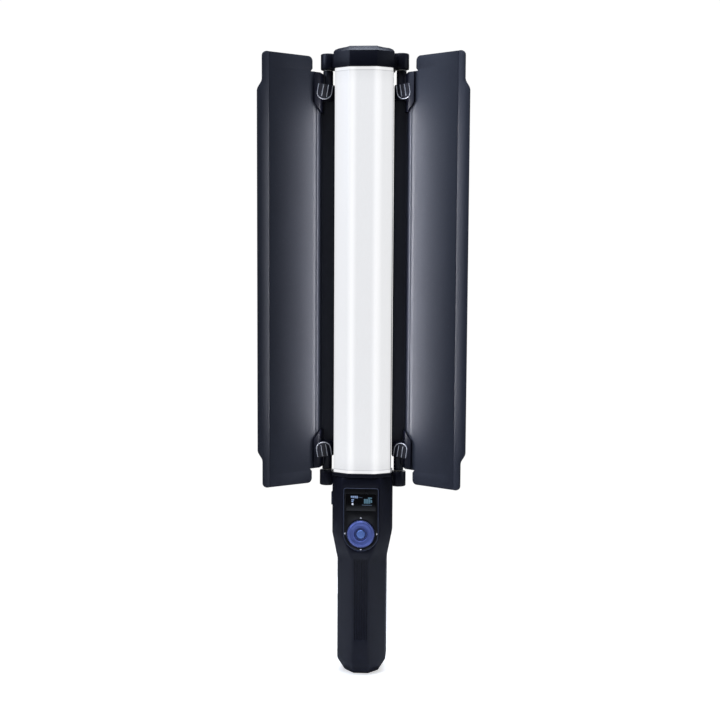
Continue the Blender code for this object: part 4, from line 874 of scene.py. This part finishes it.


# ---------------------------------------------------------------- control panel and display
# A glossy black plate in the shape of a shield, clipped into the handle's front, with a moulded bead
# round its edge coloured lighter as a painted highlight, a smoked window over the display, and four printed
# marks about the dial.

def gloss_finish(name, dark, light, roughness):
    """Polished black plastic or glass with faint flow marks and hair scratches."""
    finish = Finish(name, {"IOR": 1.5})
    scratch = finish.rise(finish.noise(0.5 * MM, (1, 1, 0.03), 3.0), 0.62, 0.72)
    smear = finish.noise(7 * MM, (1, 1, 0.5), 4.0)
    finish.feed("Base Color", finish.blend(smear, ink(*dark), ink(*light)))
    finish.feed("Roughness", roughness + 0.10 * smear + 0.08 * scratch)
    finish.relief(scratch, 0.004 * MM)
    return finish


def lit_mark_finish(name, colour, strength):
    """A lit mark, or a printed one given a painted glow: its own colour, slightly uneven, sent out as emission.
    """
    finish = Finish(name, {"Base Color": ink(*colour), "Roughness": 0.5, "Emission Strength": strength})
    uneven = finish.noise(0.6 * MM, detail=3.0)
    dim = ink(*[channel * 0.86 for channel in colour])
    finish.feed("Emission Color", finish.blend(uneven, dim, ink(*colour)))
    return finish


def shield_run(half, top, dial_height, corner, steps):
    """The panel's outline: square at the top, a half round about the dial below."""
    run = []
    for sign, first in ((1, 0), (-1, 90)):
        for i in range(steps + 1):
            angle = math.radians(first + 90 * i / steps)
            run.append((sign * (half - corner) + corner * math.cos(angle),
                        top - corner + corner * math.sin(angle)))
    for i in range(8 * steps + 1):
        angle = math.radians(180 + 180 * i / (8 * steps))
        run.append((half * math.cos(angle), dial_height + half * math.sin(angle)))
    return run


def slabs(name, faces, front, thick, finish):
    """Thin plates with these outlines in X and Z, whose faces look to the front."""
    work = bmesh.new()
    for outline in faces:
        push(work, [(x, front + thick, z) for x, z in outline], (0, -thick, 0))
    return add_piece(name, work, finish)


def tile(low_x, high_x, low_z, high_z):
    """A rectangle given from the dial's centre in millimetres."""
    return [(x * MM, dial_centre.z + z * MM) for x, z in
            ((low_x, low_z), (high_x, low_z), (high_x, high_z), (low_x, high_z))]


def disc(x, z, radius):
    """A round outline, given likewise."""
    return [(x * MM + radius * MM * math.cos(math.radians(angle)),
             dial_centre.z + z * MM + radius * MM * math.sin(math.radians(angle))) for angle in DISC_ANGLES]


def copies_round(graph, count, radius, piece):
    """A piece at a count of places round the Z axis, each turned to face outwards."""
    ring = graph.node("GeometryNodeMeshCircle", {}, {"Vertices": count, "Radius": radius})
    about = graph.node("GeometryNodeInputIndex", {}, {}) * (math.tau / count)
    return graph.on_points(ring, piece, Rotation=graph.vector(0.0, 0.0, about))


def four_marks(graph, size, start):
    """The start mesh above, below and at both sides of the dial."""
    return copies_round(graph, 4, size["radius"], start)


DISC_ANGLES = [22.5 * i for i in range(16)]
PRINT_THICK = 0.05 * MM
dial_low, dial_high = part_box("dial_wheel")
dial_centre = (dial_low + dial_high) / 2
panel_low, panel_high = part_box("control_panel")
window_low, window_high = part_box("display_window")
panel_finish = gloss_finish("panel_black", (9, 9, 13), (14, 14, 20), 0.24)
eased_copy("panel_plate", "control_panel", 0.2 * MM, panel_finish, "wand")
work = bmesh.new()
BEAD = 0.3 * MM
PANEL_CORNER = 1.7 * MM
rim = [work.verts.new((x, panel_low.y - 0.02 * MM, z)) for x, z in
       shield_run(panel_high.x - BEAD, panel_high.z - BEAD, dial_centre.z, PANEL_CORNER, 6)]
for pair in zip(rim, rim[1:] + rim[:1]):
    work.edges.new(pair)
# The bead's lighter blue-grey is a painted highlight along the panel's edge, not the plastic's own colour.
bead_painted_highlight_finish = moulded_finish("bead_painted_highlight", (74, 80, 98), (96, 102, 124), 0.25)
bead = grown("panel_bead", round_bead, {"radius": BEAD}, bead_painted_highlight_finish, mesh_of("panel_rim", work))
bead.data.shade_smooth()
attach(bead, "wand")
smoked_glass = gloss_finish("smoked_glass", (5, 5, 8), (8, 8, 12), 0.08)
eased_copy("smoked_window", "display_window", 0.2 * MM, smoked_glass, "wand")
dress(["display_module"], gloss_finish("display_frame", (16, 17, 20), (26, 27, 31), 0.4))
sheet_of_light = window_low.y - 0.06 * MM
for name, colour, strength, faces in (
        ("level_bars", (150, 172, 206), 0.4, [
            tile(-8.2, -6.9, 29.6, 31.0), tile(-6.6, -5.3, 29.4, 31.0), tile(-5.0, -3.9, 29.2, 31.0),
            tile(-3.6, -2.6, 29.0, 31.0), tile(-7.7, -5.7, 27.3, 28.3), tile(-7.7, -6.2, 25.9, 26.8)]),
        ("lamp_icon", (225, 230, 240), 0.6, [disc(-6.8, 24.3, 0.85)]),
        ("menu_lines", (80, 96, 112), 0.25, [tile(-2.3, 1.2, 29.6, 29.95), tile(0.8, 8.9, 23.3, 23.9)]),
        ("battery_icon", (92, 128, 142), 0.35, [
            tile(2.4, 3.9, 24.9, 28.6), tile(4.2, 5.7, 24.9, 28.6), tile(6.0, 7.5, 24.9, 28.6),
            tile(7.8, 9.0, 25.6, 27.9), tile(5.6, 8.9, 28.9, 29.9)])):
    icon = slabs(name, faces, sheet_of_light, PRINT_THICK, lit_mark_finish(name, colour, strength))
    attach(icon, "wand")
work = bmesh.new()
ARROW_HALF = 0.95 * MM
ARROW_BACK = -0.45 * MM
push(work, [(0.6 * MM, 0, 0), (ARROW_BACK, ARROW_HALF, 0), (ARROW_BACK, -ARROW_HALF, 0)], (0, 0, PRINT_THICK))
# The four printed marks glow with emission: a painted glow, as print gives no light of its own.
marks = grown("direction_marks", four_marks, {"radius": (panel_high.x + dial_high.x) / 2 + 0.35 * MM},
              lit_mark_finish("white_print_painted_glow", (226, 228, 236), 0.4), mesh_of("arrow", work))
marks.data.transform(Matrix.Translation((0, panel_low.y - 0.01 * MM, dial_centre.z))
                     @ Matrix.Rotation(math.radians(90), 4, "X"))
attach(marks, "wand")


# ---------------------------------------------------------------- dial and centre button
# Turned aluminium, dyed blue-violet: a dished face with lathe rings and darker rings of painted groove shade, a
# knurled rim whose ridges are painted lighter as a highlight, and a centre button in a bright ring. It spins on
# a carrier that rocks in a small gimbal.

def dyed_finish(name, dark, light, roughness, metal):
    """Dyed aluminium with concentric lathe marks about the dial's axis, darker rings of painted groove shade,
    and slight wear.
    """
    finish = Finish(name, {"Metallic": metal})
    across, _, up = finish.axes(finish.place((1, 1, 1), tuple(dial_centre)))
    radius = (across ** 2.0 + up ** 2.0) ** 0.5
    lathe = (radius * (math.tau / (0.22 * MM))).sine() * 0.5 + 0.5
    cloud = finish.noise(2.2 * MM, detail=4.0)
    wear = finish.rise(finish.noise(0.7 * MM, detail=6.0), 0.66, 0.8)
    tone = finish.blend(cloud, ink(*dark), ink(*light))
    # Rings every 1.3 mm darkened to about half: painted shade standing in for grooves in the face.
    groove_painted_shade = finish.rise((radius * (math.tau / (1.3 * MM))).sine(), 0.3, 0.9)
    cut = finish.blend(groove_painted_shade * 0.5, tone, ink(dark[0] * 0.5, dark[1] * 0.5, dark[2] * 0.62))
    finish.feed("Base Color", finish.blend(wear * 0.25, cut, ink(176, 182, 204)))
    finish.feed("Roughness", roughness + 0.08 * lathe + 0.06 * cloud)
    finish.relief(lathe, 0.006 * MM)
    return finish


def knurled(graph, size, start):
    """Ridges round the dial's rim, each a small block along its axis, about the Z axis."""
    edges = graph.vector(size["deep"], size["wide"], size["long"])
    block = graph.node("GeometryNodeMeshCube", {}, {"Size": edges})
    ridges = copies_round(graph, RIDGES, size["radius"], block)
    lift = graph.vector(0.0, 0.0, size["height"])
    return graph.node("GeometryNodeTransform", {}, {0: ridges, "Translation": lift})


RIDGES = 52
DIAL_STEPS = 96
DIAL_BORE = 5.3 * MM
RIM_SLOPES = ((0.0, 1.1), (0.35, 0.75), (0.9, 0.3), (1.5, 0.0), (2.1, 0.0), (2.5, 0.25), (4.2, 0.32))
BORE_SLOPES = ((0.7, 0.3), (0.35, 0.25), (0.0, 0.6))
depth = dial_high.y - dial_low.y
facing = Matrix.Translation((0, dial_high.y, dial_centre.z)) @ Matrix.Rotation(math.radians(90), 4, "X")
rim = dial_high.x - 0.3 * MM
profile = [(DIAL_BORE, 0.0), (rim, 0.0)]
profile += [(rim - inwards * MM, depth - down * MM) for inwards, down in RIM_SLOPES]
profile += [(DIAL_BORE + outwards * MM, depth - down * MM) for outwards, down in BORE_SLOPES]
dial_blue = dyed_finish("dial_blue", (104, 122, 200), (128, 144, 222), 0.34, 0.5)
work = bmesh.new()
turns = [math.tau * i / DIAL_STEPS for i in range(DIAL_STEPS)]
circles = [[work.verts.new((radius * math.cos(turn), radius * math.sin(turn), height)) for turn in turns]
           for radius, height in profile]
join_rings(work, circles + circles[:1])
bmesh.ops.recalc_face_normals(work, faces=work.faces)
dial = add_piece("dial_face", work, dial_blue, 32)
# The knurl's ridges take a lighter copy of the dial's dye: a painted highlight along the rim.
knurl = grown("dial_knurl", knurled, {"radius": rim - 0.6 * MM, "deep": 1.76 * MM, "wide": 0.45 * MM,
              "long": depth - 0.55 * MM, "height": (depth - 0.1 * MM) / 2},
              dyed_finish("ridge_blue_painted_highlight", (134, 146, 214), (168, 178, 236), 0.26, 0.4))
for piece in (dial, knurl):
    piece.data.transform(facing)
    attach(piece, "dial")
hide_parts("dial_wheel")
dress(["nav_carrier"], dyed_finish("carrier_ring", (96, 108, 176), (124, 138, 204), 0.3, 0.5))
button_blue = dyed_finish("button_blue", (124, 160, 240), (144, 178, 252), 0.3, 0.4)
eased_copy("centre_key", "confirm_button", 0.15 * MM, button_blue, "confirm_key")


# ---------------------------------------------------------------- power key, charging port and boards
# A polished key in the left side presses a switch behind the wall. Lower down, a rubber flap closes
# the charging socket. Both sit on green circuit boards.

def board_finish():
    """Green solder mask over copper tracks, with tinned pads here and there."""
    finish = Finish("circuit_green", {"IOR": 1.5, "Coat Weight": 0.2})
    across, _, up = finish.axes(finish.place())
    track = finish.rise(abs((across * 2600.0 + up * 1300.0).sine()), 0.9, 0.96)
    pad = finish.rise(finish.noise(1.3 * MM, detail=1.0), 0.7, 0.72)
    mask = finish.blend(track, ink(20, 74, 46), ink(36, 104, 66))
    finish.feed("Base Color", finish.blend(pad, mask, ink(190, 192, 196)))
    finish.feed("Metallic", pad * 0.9)
    finish.feed("Roughness", 0.36 - 0.1 * pad)
    finish.relief(track, 0.03 * MM)
    return finish


key_finish = gloss_finish("key_plastic", (40, 46, 66), (52, 58, 80), 0.22)
eased_copy("side_key", "power_button", 0.2 * MM, key_finish, "power_key")
rubber = soft_finish("soft_rubber", (20, 21, 26), (28, 29, 35))
eased_copy("port_door", "port_cover", 0.18 * MM, rubber, "port_flap")
dress(["usb_socket"], plated)
dress(["control_board", "charge_board"], board_finish())


# ---------------------------------------------------------------- studio
# A pale floor that fades into a white surround, soft boxes at both sides and above, and the wand's
# own light on the doors. The lamps' light leaves the diffuser's two shoulders.

def soft_box(name, place, aim, size, power, colour):
    """A lamp with a rectangular face, out of the camera's sight."""
    light = bpy.data.lights.new(name, "AREA")
    light.shape = "RECTANGLE"
    light.size, light.size_y = size
    light.energy = power
    light.color = colour
    made = linked(name, light)
    made.location = place
    made.rotation_mode = "QUATERNION"
    made.rotation_quaternion = (Vector(aim) - Vector(place)).to_track_quat("-Z", "Y")
    made.visible_camera = False


def tube_light(name, side, power):
    """The light that leaves one shoulder of the diffuser, as a narrow strip just in front of it."""
    along = Vector((DIFFUSER_HALF - TUBE_FLAT, SHOULDER_Y - diffuser_low.y))
    out = Vector((side * along.y, -along.x, 0)).normalized()
    middle = Vector((side * (DIFFUSER_HALF + TUBE_FLAT) / 2, (SHOULDER_Y + diffuser_low.y) / 2,
                     DIFFUSER_MIDDLE))
    size = (along.length * 0.8, DIFFUSER_LENGTH - 56 * MM)
    soft_box(name, middle + out * 0.6 * MM, middle + out, size, power, (1.0, 0.99, 1.0))


tube_light("tube_light_left", -1, 0.20)
tube_light("tube_light_right", 1, 0.28)
soft_box("key", (-1.1, -0.7, 0.95), (0, 0, 0.2), (0.8, 1.1), 9.0, (0.66, 0.76, 1.0))
soft_box("fill", (1.5, -0.45, 0.5), (0, 0, 0.2), (0.5, 1.2), 3.0, (0.74, 0.82, 1.0))
soft_box("top", (0.0, -0.1, 1.5), (0, 0, 0.3), (0.9, 0.7), 20.0, (0.78, 0.86, 1.0))
soft_box("rear", (0.3, 1.4, 0.9), (0, 0, 0.3), (1.2, 1.0), 9.0, (0.95, 0.97, 1.0))

world = bpy.data.worlds.new("white_surround")
world.use_nodes = True
surround = Graph(world.node_tree)
seen = surround.node("ShaderNodeLightPath", {}, {}, "Is Camera Ray")
level = 0.06 + 0.96 * seen
surround.tree.links.new(level.socket, surround.tree.nodes["Background"].inputs["Strength"])
surround.tree.nodes["Background"].inputs["Color"].default_value = (1.0, 1.0, 1.0, 1.0)
bpy.context.scene.world = world

floor_finish = Finish("pale_floor", {
    "Base Color": (0.80, 0.80, 0.80, 1.0), "Roughness": 0.9, "Emission Strength": 0.62})
seen = floor_finish.node("ShaderNodeLightPath", {}, {}, "Is Camera Ray")
glow = floor_finish.node("ShaderNodeCombineColor", {}, {0: seen, 1: seen, 2: seen})
floor_finish.feed("Emission Color", glow)
FLOOR_RADIUS = 0.55
where = floor_finish.place()
distance = floor_finish.node("ShaderNodeVectorMath", {"operation": "LENGTH"}, {0: where}, "Value")
floor_finish.feed("Alpha", 1 - floor_finish.rise(distance, 0.08, FLOOR_RADIUS * 0.95))
work = bmesh.new()
bmesh.ops.create_circle(work, cap_ends=True, radius=FLOOR_RADIUS, segments=96)
bmesh.ops.translate(work, verts=work.verts, vec=(0, 0, cad_box[0].z - 0.5 * MM))
floor = add_piece("floor", work, floor_finish)

CAMERA_DISTANCE = 914.0 * MM
CAMERA_TURN = math.radians(3.73)
CAMERA_HEIGHT = 334.5 * MM
CAMERA_ROLL = math.radians(0.31)
lens = bpy.data.cameras.new("camera")
lens.lens = 56.2
lens.sensor_width = 36.0
camera = linked("camera", lens)
camera.location = (CAMERA_DISTANCE * math.sin(CAMERA_TURN), -CAMERA_DISTANCE * math.cos(CAMERA_TURN),
                   CAMERA_HEIGHT)
camera.rotation_mode = "QUATERNION"
aim = Vector((-2.8 * MM, 0.0, 257.6 * MM)) - camera.location
roll = Matrix.Rotation(CAMERA_ROLL, 4, "Z").to_quaternion()
camera.rotation_quaternion = aim.to_track_quat("-Z", "Y") @ roll
bpy.context.scene.camera = camera
bpy.context.scene.view_settings.view_transform = "Standard"
